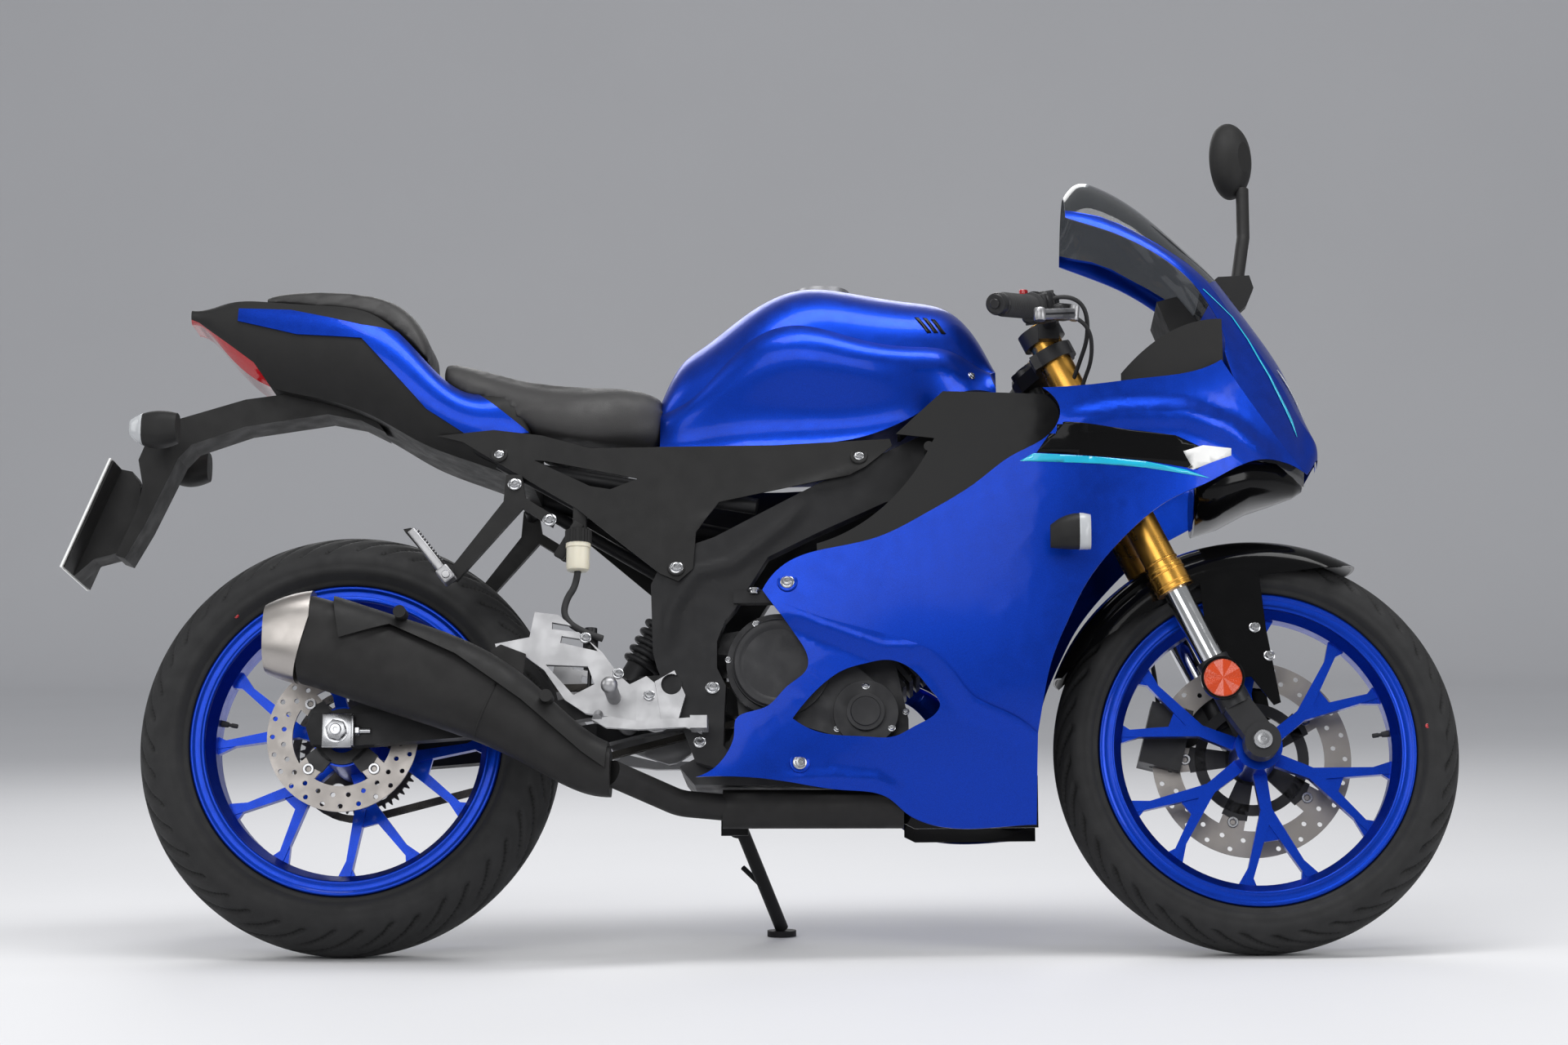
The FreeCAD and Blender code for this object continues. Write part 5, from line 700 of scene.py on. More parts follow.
RIBS, RIB_PITCH = 15, 6.4
sleeve = [(11.2, 1.0), (15.0, 1.0), (16.4, 2.5)]
for rib in range(RIBS):
    start = 8 + rib * RIB_PITCH
    sleeve += [
        (16.6, start), (17.4, start + 1.2), (17.4, start + 3.4),
        (15.9, start + 4.2), (15.9, start + 5.6),
    ]
sleeve += [(16.6, 106), (20.5, 108), (21.0, 112), (19.5, 117.5), (11.2, 118)]


def on_bar(name, slot, outline, turns, sharp):
    """One outline turned round both ends of the bar."""
    return turned(name, "steering", slot, [
        (outline, BAR_ENDS[side], BAR_INWARD[side], turns) for side in BOTH
    ], sharp)


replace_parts(on_bar("ribbed_grips", "grip_rubber", sleeve, 40, 40.0), "grips")

weight = [
    (0, -24), (6, -24), (7, -23), (7, -19.5), (12.5, -19.5), (14.8, -17.5), (16.2, -13),
    (16.2, -8), (15.2, -6.5), (15.2, -4), (16.2, -2.5), (16.2, -0.5), (10, 0),
]
on_bar("bar_weights", "dark_casting", weight, 36, 30.0)

# %% [markdown]
# The controls beside the grips. The right housing holds the throttle drum and
# the red stop switch, the left one the lamp and horn switches. Both are
# castings with rounded edges: bevelled blocks, with a step round the joint.

# %% Switch housings
def rounded_block(bm, size, stand, bevel, segments):
    """A block of this size with its edges bevelled, placed by the matrix stand."""
    made = bmesh.ops.create_cube(bm, size=1.0)["verts"]
    bmesh.ops.scale(bm, verts=made, vec=size)
    edges = list({e for v in made for e in v.link_edges})
    result = bmesh.ops.bevel(
        bm, geom=edges, offset=bevel, segments=segments, profile=0.5, affect="EDGES", material=-1,
    )
    verts = {v for f in result["faces"] for v in f.verts} | {v for v in made if v.is_valid}
    linked = set(verts)
    for vert in verts:
        for face in vert.link_faces:
            linked |= set(face.verts)
    bmesh.ops.transform(bm, matrix=stand, verts=list(linked))


def along(place, way, up=(0, 0, 1)):
    """A matrix at place whose X runs along way and whose Z leans to up."""
    x = Vector(way).normalized()
    y = Vector(up).cross(x).normalized()
    z = x.cross(y)
    turn = Matrix((x, y, z)).transposed().to_4x4()
    return Matrix.Translation(Vector(place)) @ turn


# How far inwards from the bar's end these lie: switch housing, lever pivot, clamp.
HOUSING_IN, LEVER_IN, CLAMP_IN = 142, 144, 166


def housings():
    """A block, the flange round its joint, and a smaller block for the switches."""
    bm = bmesh.new()
    for side in BOTH:
        way = BAR_INWARD[side]
        at = BAR_ENDS[side] + way * HOUSING_IN
        rounded_block(bm, (40, 46, 44), along(at, way), 9.0, 4)
        rounded_block(bm, (3, 48, 46), along(at + way * 2, way), 1.2, 2)
        rounded_block(bm, (26, 20, 16), along(at + Vector((-14, side * 2, 12)), way), 4.0, 3)
    shaped("switch_housings", bm, "steering", "dark_casting", sharp=50.0)


housings()


def stop_switch():
    """The red rocker on the right housing."""
    bm = bmesh.new()
    way = BAR_INWARD[-1]
    at = BAR_ENDS[-1] + way * HOUSING_IN
    rounded_block(bm, (16, 9, 12), along(at + Vector((-22, -4, 20)), way), 2.5, 3)
    shaped("stop_switch", bm, "steering", "red_lens")


stop_switch()

# %% [markdown]
# Hoses and cables are held at both ends and clipped between, so they are
# fixed parts. Each is a smooth NURBS line with a round bevel, through a few
# points read off the photograph.

# %% Hoses and cables
def hose(name, body, slot, runs):
    """Each run is (radius in mm, points in upright mm); all become one mesh."""
    made = []
    for radius, points in runs:
        line = bpy.data.curves.new(name, "CURVE")
        line.dimensions = "3D"
        line.bevel_depth = radius / 1000
        line.bevel_resolution = 3
        line.resolution_u = 8
        line.use_fill_caps = True
        spline = line.splines.new("NURBS")
        spline.points.add(len(points) - 1)
        for knot, point in zip(spline.points, points):
            knot.co = (*lean(*point), 1)
        spline.order_u = 3
        spline.use_endpoint_u = True
        made.append(link(name, line))
    bm = bmesh.new()
    graph = bpy.context.evaluated_depsgraph_get()
    for run in made:
        bm.from_mesh(bpy.data.meshes.new_from_object(run.evaluated_get(graph)))
        bpy.data.objects.remove(run)
    bmesh.ops.recalc_face_normals(bm, faces=bm.faces)
    dressed(from_bmesh(name, bm), body, slot)


BAR_RUN = [
    (336, 232, 902), (372, 236, 922), (416, 214, 918),
    (424, 170, 880), (410, 128, 846), (402, 116, 826),
]
hose("bar_cables", "steering", "grip_rubber", [
    (3.2, [(x, -y, z) for x, y, z in BAR_RUN]),
    (3.0, [
        (338, -226, 890), (380, -226, 900), (424, -196, 888),
        (430, -150, 852), (416, -120, 820), (410, -112, 800),
    ]),
    (3.2, BAR_RUN),
])
hose("front_brake_hose", "steering", "grip_rubber", [(3.4, [
    (470, 116, 690), (500, 118, 628), (512, 116, 560),
    (520, 112, 470), (528, 96, 410), (530, 90, 372),
])])
hose("rear_brake_hose", "chassis", "grip_rubber", [(5.0, [
    (-318, -138, 543), (-320, -139, 520), (-334, -140, 500),
    (-338, -142, 474), (-316, -145, 452), (-280, -146, 440),
])])

# %% [markdown]
# The painted panels carry soft creases. A panel is copied, cut into a fine
# grid so that it can bend, and every vertex near a crease line is pushed
# outwards by a few millimetres, most on the line itself.

# %% Creased panels
skins = dict(nodes)
GRID = 7.0


def crossing(bm, axis, at):
    """The faces that a plane across this axis cuts, with their edges and corners."""
    faces = []
    for face in bm.faces:
        places = [v.co[axis] for v in face.verts]
        if min(places) < at < max(places):
            faces.append(face)
    edges = list({e for f in faces for e in f.edges})
    return faces + edges + list({v for f in faces for v in f.verts})


def gridded(node, low, high):
    """A node upright in millimetres, cut by x and z planes inside the box low to high."""
    bm = merged_copy(node)
    bm.transform(DRAWN_TO_ROW.inverted())
    for axis in (0, 2):
        way = Vector((axis == 0, 0, axis == 2))
        at = low[axis // 2]
        while at <= high[axis // 2]:
            bmesh.ops.bisect_plane(
                bm, geom=crossing(bm, axis, at), plane_co=way * at, plane_no=way,
            )
            at += GRID
    return bm


def off_line(x, z, line):
    """How far a side-view point lies from a line, and a share that fades at its ends."""
    fade = 40.0
    best, place, walked = math.inf, 0.0, 0.0
    for (x1, z1), (x2, z2) in zip(line, line[1:]):
        run = Vector((x2 - x1, z2 - z1))
        share = max(0.0, min(1.0, Vector((x - x1, z - z1)).dot(run) / run.length_squared))
        away = (Vector((x1, z1)) + run * share - Vector((x, z))).length
        if away < best:
            best, place = away, walked + run.length * share
        walked += run.length
    return best, min(1.0, place / fade, (walked - place) / fade)


def creased(name, node, low, high, lines, slot="blue_paint"):
    """Lines are (points, height, width); only what lies over 60 mm out is pushed."""
    bm = gridded(node, low, high)
    for vert in bm.verts:
        push = 0.0
        for line, height, width in lines:
            away, fade = off_line(vert.co.x, vert.co.z, line)
            share = 1 - away / width
            if share > 0 and abs(vert.co.y) > 60:
                push += height * fade * share ** 2 * (3 - 2 * share)
        vert.co.y += math.copysign(push, vert.co.y)
    piece = shaped(name, bm, "chassis", slot, 32.0)
    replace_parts(piece, node)
    skins[node] = piece


UPPER_CREASE = [(374, 737), (471, 755), (557, 760), (626, 743), (660, 721), (705, 708)]
creased("creased_upper", "side_fairings_upper", (280, 640), (720, 800), [
    (UPPER_CREASE, 8.0, 30.0),
])
WINDOW_CREASE = [
    (-32, 487), (29, 459), (122, 424), (185, 422), (213, 395), (251, 343), (315, 315), (372, 276),
]
BELLY_CREASE = [(-30, 236), (52, 240), (112, 236), (160, 212)]
creased("creased_lower", "side_fairings_lower", (-60, 200), (400, 520), [
    (WINDOW_CREASE, 8.0, 28.0), (BELLY_CREASE, 4.0, 16.0),
])
COVER_CREASE = [(-160, 580), (-141, 612), (17, 665), (126, 701)]
creased("creased_covers", "side_covers", (-300, 540), (160, 720), [
    (COVER_CREASE, 4.0, 13.0),
], "matte_black")
SPAR_CREASE = [(-191, 419), (-182, 484), (-147, 538), (-95, 549), (-19, 608), (20, 648)]
creased("creased_frame", "main_frame", (-215, 395), (45, 670), [
    (SPAR_CREASE, 5.0, 18.0),
], "frame_paint")

# %% [markdown]
# Several pieces lie on the painted panels: decals, bolts, slots. A ray across
# the bike finds where a panel is and which way it faces, so such a piece sits
# on the skin from every side and not only in one view.

# %% Finding the skin
def drawn_tree(*names):
    """The triangles of these nodes, upright in millimetres, ready for rays."""
    bm = bmesh.new()
    for name in names:
        bm.from_mesh(skins[name].data)
    bm.transform(DRAWN_TO_ROW.inverted())
    found = BVHTree.FromBMesh(bm)
    bm.free()
    return found


AHEAD, OUTSIDE = 950, 330  # rays start here, in front of the bike or beside it
NOSE, HALF_WIDE = 740, 170  # about where the skin is


def skin_point(skin, across, z, side):
    """Where a ray meets the skin, and which way the skin faces there.

    With a side, the ray runs across the bike at x = across. Without one, it
    comes from ahead at y = across. Past an edge, the nearest place is taken.
    """
    if side is None:
        start, way = Vector((AHEAD, across, z)), Vector((-1, 0, 0))
        near = Vector((NOSE, across, z))
    else:
        start, way = Vector((across, side * OUTSIDE, z)), Vector((0, -side, 0))
        near = Vector((across, side * HALF_WIDE, z))
    place, normal, _, _ = skin.ray_cast(start, way)
    if place is None:
        place, normal, _, _ = skin.find_nearest(near)
    return place, -normal if normal.dot(way) > 0 else normal


panel_skin = drawn_tree("side_fairings_upper", "side_fairings_lower", "front_cowl", "windscreen")
inner_skin = drawn_tree("inner_fairings", "side_covers", "main_frame")
tank_skin = drawn_tree("tank_cover")

# %% [markdown]
# Decals are thin printed film. Each one is a flat outline, cut into a grid so
# that it can bend, then every vertex is laid on the skin. A Solidify modifier
# gives the film its thickness, so it is a closed piece and not a loose sheet.

# %% Decals
FILM_GRID = 11.0
FILM_WALL, LENS_WALL = 0.0003, 0.0006  # in metres


def laid_on(bm, skin, outline, side, lift):
    """A patch of skin inside a flat (x, z) outline, lifted off by about a millimetre."""
    patch = bmesh.new()
    patch.faces.new([patch.verts.new((x, 0, z)) for x, z in outline])
    bmesh.ops.triangulate(patch, faces=patch.faces)
    for axis, places in ((0, [x for x, _ in outline]), (2, [z for _, z in outline])):
        at = math.ceil(min(places) / FILM_GRID) * FILM_GRID
        while at < max(places):
            way = Vector((axis == 0, 0, axis == 2))
            bmesh.ops.bisect_plane(
                patch, geom=patch.verts[:] + patch.edges[:] + patch.faces[:],
                plane_co=way * at, plane_no=way,
            )
            at += FILM_GRID
    bmesh.ops.triangulate(patch, faces=patch.faces)
    for vert in patch.verts:
        place, normal = skin_point(skin, vert.co.x, vert.co.z, side)
        vert.co = place + normal * lift
    patch.normal_update()
    facing = sum((f.normal for f in patch.faces), Vector())
    if facing.dot(Vector((1, 0, 0)) if side is None else Vector((0, side, 0))) < 0:
        bmesh.ops.reverse_faces(patch, faces=patch.faces)
    mesh = bpy.data.meshes.new("patch")
    patch.to_mesh(mesh)
    patch.free()
    bm.from_mesh(mesh)
    bpy.data.meshes.remove(mesh)


def walled(piece, thickness):
    """Gives a film its thickness, in metres, on the outside."""
    wall = piece.modifiers.new("film", "SOLIDIFY")
    wall.thickness = thickness
    wall.offset = 1.0


def film(name, skin, outlines, slot, finish=None, lift=0.5, sides=BOTH):
    """The same outlines as film on these sides of the bike."""
    bm = bmesh.new()
    for side in sides:
        for outline in outlines:
            laid_on(bm, skin, outline, side, lift)
    walled(shaped(name, bm, "chassis", slot, finish=finish, merge=False), FILM_WALL)


film("dark_flash", panel_skin, [[
    (375, 741), (392, 740), (470, 732), (545, 727), (583, 713), (600, 700), (576, 681),
    (500, 688), (420, 692), (344, 696),
]], "gloss_black")
film("pale_wedge", panel_skin, [[
    (556, 705), (585, 716), (627, 716), (627, 706), (600, 694), (570, 680), (562, 682), (574, 692),
]], "plate_white", lift=0.9)
film("bright_stripe", panel_skin, [[
    (340, 695), (420, 691), (500, 687), (560, 679), (596, 670), (560, 673), (500, 678),
    (420, 683), (320, 684),
]], "blue_paint", "cyan_film", lift=0.9)

# %% [markdown]
# The nose carries a hair line of the same bright film down each side. It is
# drawn on the cowl from above the lamp to the edge of the screen.

# %% Hair line on the nose
def strip(points, half):
    """An outline round a line of points, wider towards its end."""
    upper, lower = [], []
    for index, (x, z) in enumerate(points):
        before, after = points[max(0, index - 1)], points[min(len(points) - 1, index + 1)]
        way = Vector((after[0] - before[0], after[1] - before[1])).normalized()
        wide = half * (0.25 + 0.75 * index / (len(points) - 1))
        if index == len(points) - 1:
            wide = 0.3
        upper.append((x - way.y * wide, z + way.x * wide))
        lower.append((x + way.y * wide, z - way.x * wide))
    return upper + lower[::-1]


film("nose_line", panel_skin, [strip([
    (594, 961), (637, 924), (660, 890), (676, 860), (690, 837), (701, 815), (712, 795),
    (722, 776), (731, 752),
], 2.4)], "blue_paint", "cyan_film", lift=0.7)

# %% [markdown]
# The three slots in the tank's shoulder are films as well: the real ones are
# shallow and show as gloss black strips.

# %% Dark slots
film("tank_slots", tank_skin, [
    [(171, 925), (177, 925), (196, 900), (190, 899)],
    [(183, 925), (189, 925), (206, 901), (200, 900)],
    [(195, 924), (201, 924), (217, 901), (211, 900)],
], "gloss_black", lift=0.6)

# %% [markdown]
# Bolts on the body: a flange, a round head and a socket, turned in one go and
# bright zinc as on the real bike. Each sits where a ray finds the panel. A
# painted panel doesn't lie flat under its bolts: it is dished, and a ring of
# bright reflection shows the rim. A small turned dish gives that.

# %% Bolts on the panels and the dishes under them
BOLT_HEAD = [
    (9.0, 0.8), (8.4, 1.3), (6.4, 1.6), (6.2, 4.4), (5.2, 5.4), (3.1, 5.6), (2.8, 3.4), (0, 3.4),
]
PANEL_BOLTS = [(-14, 518), (3, 260)]
COVER_BOLTS = [(89, 708), (-439, 724)]
SPAR_BOLT = (-175, 544)


def bolt(radius):
    """A bolt's outline; the radius is its flange's."""
    share = radius / BOLT_HEAD[0][0]
    return [(0, -1.0), (radius, -1.0)] + [(r * share, h * share) for r, h in BOLT_HEAD]


def dish(radius):
    """A dish's outline: a rounded rim and a shallow floor."""
    return [
        (0, -1.5), (radius, -1.5), (radius, 0.2), (radius - 1.2, 1.5),
        (radius - 3.0, 1.3), (radius - 5.0, 0.5), (0, 0.4),
    ]


def on_skin(outline, groups, turns):
    """Parts for turned(), from groups of (skin, radius, (x, z) places, sides)."""
    return [
        (outline(radius), *skin_point(skin, x, z, side), turns)
        for skin, radius, places, sides in groups for side in sides for x, z in places
    ]


def flanged_bolts(name, body, groups):
    """Bolts with a flange, as one piece."""
    turned(name, body, "cast_silver", on_skin(bolt, groups, 24), 35.0, "zinc_plate")


flanged_bolts("body_bolts", "chassis", [
    (panel_skin, 10.0, PANEL_BOLTS, BOTH),
    (inner_skin, 10.0, [SPAR_BOLT, (-122, 369), (-62, 515)], BOTH),
    (inner_skin, 7.0, COVER_BOLTS, BOTH),
    (tank_skin, 6.0, [(254, 838)], BOTH),
])
turned("bolt_dishes", "chassis", "blue_paint", on_skin(dish, [
    (panel_skin, 15.0, PANEL_BOLTS, BOTH),
], 32))
turned("cover_dishes", "chassis", "matte_black", on_skin(dish, [
    (inner_skin, 13.0, COVER_BOLTS + [SPAR_BOLT], BOTH),
], 32))

# %% [markdown]
# The drive chain. One inner link and one outer link are made, each plate as
# the hull of two short cylinders, and copies of them follow the path round
# both sprockets. Pins and rollers are cylinders with few sides, because the
# link is repeated sixty times.

# %% Chain path
PITCH, CHAIN_Y = 12.7, 84.0
REAR_TEETH, DRIVE_TEETH = 48, 14
DRIVE = Vector((-100, 0, 385))


def chain_pins():
    """The pins' places all round the loop: top run, drive sprocket, low run, rear one."""
    big = PITCH / (2 * math.sin(math.pi / REAR_TEETH))
    small = PITCH / (2 * math.sin(math.pi / DRIVE_TEETH))
    line = DRIVE - REAR_AXLE
    tilt, span = math.atan2(line.z, line.x), line.length
    fall = math.asin((big - small) / span)
    straight = math.sqrt(span ** 2 - (big - small) ** 2)
    top, low = tilt + math.pi / 2 - fall, tilt - math.pi / 2 + fall
    wrap = top - low
    total = 2 * straight + small * wrap + big * (2 * math.pi - wrap)
    count = 2 * round(total / PITCH / 2)

    def ring(centre, radius, angle):
        """A point round a centre; the angle counts from ahead, in radians."""
        return centre + Vector((math.cos(angle), 0, math.sin(angle))) * radius

    stretches = [
        (straight, lambda s: ring(REAR_AXLE, big, top) + ring(Vector(), s, top - math.pi / 2)),
        (small * wrap, lambda s: ring(DRIVE, small, top - s / small)),
        (straight, lambda s: ring(DRIVE, small, low) + ring(Vector(), s, low - math.pi / 2)),
        (math.inf, lambda s: ring(REAR_AXLE, big, low - s / big)),
    ]
    pins = []
    for index in range(count):
        length = total * index / count
        for stretch, place in stretches:
            if length < stretch:
                pins.append(place(length))
                break
            length -= stretch
    return pins


def link_model(plate_y, plate_radius, wall, pin_radius, pin_half):
    """Two plates and two pins or rollers, along X, with the middle at the origin.

    Plate_y is where the plates stand, and pin_half is half the pins' length.
    """
    bm = bmesh.new()
    lay = Matrix.Rotation(math.pi / 2, 4, "X")
    for side in BOTH:
        rounds = []
        for end in BOTH:
            spot = Matrix.Translation((end * PITCH / 2, side * plate_y, 0)) @ lay
            rounds += bmesh.ops.create_cone(
                bm, cap_ends=True, segments=10, radius1=plate_radius, radius2=plate_radius,
                depth=wall, matrix=spot,
            )["verts"]
        hull = bmesh.ops.convex_hull(bm, input=rounds)
        bmesh.ops.delete(bm, geom=hull["geom_interior"], context="VERTS")
    for end in BOTH:
        bmesh.ops.create_cone(
            bm, cap_ends=True, segments=8, radius1=pin_radius, radius2=pin_radius,
            depth=pin_half * 2, matrix=Matrix.Translation((end * PITCH / 2, 0, 0)) @ lay,
        )
    mesh = bpy.data.meshes.new("link_model")
    bm.to_mesh(mesh)
    bm.free()
    return mesh


def chain():
    """Inner and outer links by turns, each laid from its pin to the next."""
    inner = link_model(plate_y=3.6, plate_radius=5.3, wall=1.5, pin_radius=4.2, pin_half=2.8)
    outer = link_model(plate_y=5.5, plate_radius=4.9, wall=1.4, pin_radius=1.9, pin_half=7.0)
    pins = chain_pins()
    bm = bmesh.new()
    for index, start in enumerate(pins):
        end = pins[(index + 1) % len(pins)]
        way = end - start
        stand = Matrix.Translation((start + end) / 2 + Vector((0, CHAIN_Y, 0)))
        stand @= Matrix.Rotation(-math.atan2(way.z, way.x), 4, "Y")
        first = len(bm.verts)
        bm.from_mesh(outer if index % 2 else inner)
        bm.verts.ensure_lookup_table()
        bmesh.ops.transform(bm, matrix=stand, verts=bm.verts[first:])
    print("chain has", len(pins), "links")
    return shaped("chain_links", bm, "chassis", "chain_steel", smooth=False, merge=False)


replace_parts(chain(), "chain")

# %% [markdown]
# The rear axle's end: a bent silver plate that slides in the arm's slot, a
# large nut with its washer, and the small bolt that sets the chain's tension.

# %% Axle nuts and adjusters
def hexagon(bm, place, way, across, height, turn=0.0):
    """A nut: a six-sided cone with its corners taken off by a bevel."""
    facing = Vector(way).to_track_quat("Z", "Y").to_matrix().to_4x4()
    stand = Matrix.Translation(Vector(place) + Vector(way).normalized() * height / 2)
    stand @= facing @ Matrix.Rotation(turn, 4, "Z")
    radius = across / 1.732
    made = bmesh.ops.create_cone(
        bm, cap_ends=True, segments=6, radius1=radius, radius2=radius, depth=height, matrix=stand,
    )["verts"]
    edges = {e for v in made for e in v.link_edges}
    rims = [e for e in edges if abs(e.calc_face_angle(0.0) - math.pi / 2) < 0.1]
    bmesh.ops.bevel(
        bm, geom=rims, offset=1.0, segments=2, profile=0.5, affect="EDGES", material=-1,
    )


def adjusters():
    """The bent plate, washer, nut and axle end, then the bolt that sets the tension."""
    bm = bmesh.new()
    for side in BOTH:
        out = (0, side, 0)
        face = REAR_AXLE + Vector((0, side * 126.2, 0))
        stud = face + Vector((26, side * 2, 0))
        for size, x, y in (((43, 6.4, 49), 0, 3), ((4, 14, 44), 23, 2)):
            spot = Matrix.Translation(face + Vector((x, side * y, 0)))
            rounded_block(bm, size, spot, 1.2, 2)
        lathe(bm, rod(17.5, 5, 8.4), face, out, 32)
        hexagon(bm, face + Vector((0, side * 8.4, 0)), out, 27.0, 8.0, 0.3)
        lathe(bm, [
            (0, 16), (8.4, 16), (8.4, 19.4), (7.2, 20.6), (3, 20.6), (2.6, 19), (0, 19),
        ], face, out, 24)
        hexagon(bm, stud, (1, 0, 0), 13.0, 7.0)
        lathe(bm, rod(4, 0, 22), stud, (1, 0, 0), 16)
    shaped("chain_adjusters", bm, "chassis", "cast_silver", 32.0, "zinc_plate")


adjusters()
outward("front_axle_ends", "steering", "cast_silver", [
    (0, -3), (13.5, -3), (13.5, 0.6), (12.6, 1.6), (8.6, 1.6), (8.2, 3.6), (4.4, 3.8),
    (4.0, 1.2), (0, 1.2),
], (FRONT_AXLE.x, 122, FRONT_AXLE.z), 28, 32.0, "zinc_plate")

# %% [markdown]
# The nose ends below in a gloss black shell round the lamp. It is a loft: one
# ring of vertices is made for each station, and neighbouring rings are joined
# by bridge_loops. The lamp's two eyes are laid on from ahead, and the small
# lens between them is turned.

# %% Shell under the nose
def loft(bm, stations):
    """Closed rings across the bike at (x, z, half wide, half high), bridged in order."""
    turns, power = 28, 2 / 2.4  # a power below one squares the rings
    rings = []
    for x, z, wide, high in stations:
        made = bmesh.ops.create_circle(bm, cap_ends=False, segments=turns, radius=1.0)["verts"]
        for vert in made:
            across, up = vert.co.x, vert.co.y
            vert.co = (
                x, wide * math.copysign(abs(across) ** power, across),
                z + high * math.copysign(abs(up) ** power, up),
            )
        rings.append([e for v in made for e in v.link_edges if e.other_vert(v) in made])
    for first, second in zip(rings, rings[1:]):
        bmesh.ops.bridge_loops(bm, edges=list(set(first + second)))
    for ring in (rings[0], rings[-1]):
        bmesh.ops.contextual_create(bm, geom=list(set(ring)))


def lower_nose():
    """From under the cowl forwards, ever smaller."""
    bm = bmesh.new()
    loft(bm, [
        (582, 668, 112, 44), (620, 678, 108, 42), (660, 692, 88, 36), (700, 698, 60, 31),
        (728, 699, 30, 24), (742, 698, 10, 14),
    ])
    shaped("lower_nose", bm, "chassis", "gloss_black")


lower_nose()


def eyes():
    """A film over each of the two lamps, laid on from ahead."""
    bm = bmesh.new()
    eye = [(22, 786), (34, 806), (62, 838), (70, 852), (60, 846), (30, 816), (18, 796)]
    for side in BOTH:
        laid_on(bm, panel_skin, [(side * y, z) for y, z in eye], None, 1.2)
    piece = shaped("lamp_eyes", bm, "chassis", "lamp_lens", finish="clear_lens", merge=False)
    walled(piece, LENS_WALL)


eyes()
turned("middle_lens", "chassis", "lamp_lens", [([
    (0, 3), (12, 2), (18, -1), (19.5, -2), (19.5, 2.5), (22, 4), (24, 2.5), (24, -14), (0, -14),
], (736, 0, 742), (0.86, 0, 0.3), 36)], finish="clear_lens")

# %% [markdown]
# A turn signal is dark at the back and clear at the front. The clear part is
# the CAD shape again, cut by a plane, closed, and grown by half a millimetre.

# %% Clear ends of the turn signals
def signal_lens(name, x, ahead):
    """The signals' mesh, kept only past the plane at x and grown a little."""
    bm = merged_copy("turn_signals")
    bm.transform(DRAWN_TO_ROW.inverted())
    cut = bmesh.ops.bisect_plane(
        bm, geom=bm.verts[:] + bm.edges[:] + bm.faces[:], plane_co=(x, 0, 0),
        plane_no=(ahead, 0, 0), clear_inner=True,
    )
    rim = [e for e in cut["geom_cut"] if isinstance(e, bmesh.types.BMEdge)]
    bmesh.ops.holes_fill(bm, edges=rim, sides=0)
    bmesh.ops.remove_doubles(bm, verts=bm.verts, dist=0.02)
    bmesh.ops.recalc_face_normals(bm, faces=bm.faces)
    bm.normal_update()
    for vert in bm.verts:
        vert.co += vert.normal * 0.5
    shaped(name, bm, "chassis", "lamp_lens", finish="clear_lens")


signal_lens("front_signal_lenses", 401, 1)
signal_lens("rear_signal_lenses", -965, -1)

# %% [markdown]
# The folded pillion pegs are bright castings with a row of ribs for the sole.

# %% Pillion pegs
def ribbed_pegs():
    """A bar from its hinge up and back, the hinge's block and pin, and thirteen ribs."""
    bm = bmesh.new()
    for side in BOTH:
        low, high = Vector((-500, side * 168, 524)), Vector((-557, side * 168, 596))
        way = (high - low).normalized()
        up = Vector((way.z, 0, -way.x))
        blocks = [
            ((low + high) / 2, ((high - low).length, 26, 13), 3.0, 3),
            (low + way * 8, (24, 28, 20), 3.0, 3),
        ]
        for rib in range(13):
            blocks.append((low + way * (22 + rib * 5.2) + up * 7.4, (2.6, 23, 4.0), 0.8, 1))
        for place, size, bevel, segments in blocks:
            rounded_block(bm, size, along(place, way, up), bevel, segments)
        lathe(bm, pin(6, 17), low + way * 6, (0, 1, 0), 20)
    shaped("ribbed_pegs", bm, "chassis", "cast_silver", 40.0)


ribbed_pegs()

# %% [markdown]
# The footrest plates are bolted to the frame. The right-hand one carries the
# rear brake's small master cylinder with its rod.

# %% Footrest hardware
rest_skin = drawn_tree("footrests")
flanged_bolts("rest_bolts", "chassis", [
    (rest_skin, 8.5, [(-212, 356), (-250, 392), (-284, 462)], BOTH),
    (inner_skin, 9.0, [(-140, 290)], BOTH),
])
peg_skin = drawn_tree("pillion_pegs", "main_frame", "side_covers")
flanged_bolts("tripod_bolts", "chassis", [(peg_skin, 10.0, [(-414, 676), (-362, 622)], BOTH)])


def foot_brake():
    """The rod and the cylinder are turned in one; a block on it takes the hose."""
    bm = bmesh.new()
    lathe(bm, [
        (0, 0), (3, 0), (3, 34), (9, 35), (9, 44), (11, 46), (11, 84), (9, 86), (9, 96), (0, 97),
    ], (-300, -133, 362), (0.02, 0, 1), 24)
    rounded_block(bm, (16, 14, 18), Matrix.Translation((-300, -133, 446)), 3.0, 2)
    shaped("foot_brake_cylinder", bm, "chassis", "dark_casting", sharp=35.0)


foot_brake()

# %% [markdown]
# The engine's covers are flat castings with raised rims. Turned rings give
# the rims, and small bolts hold the case round them.

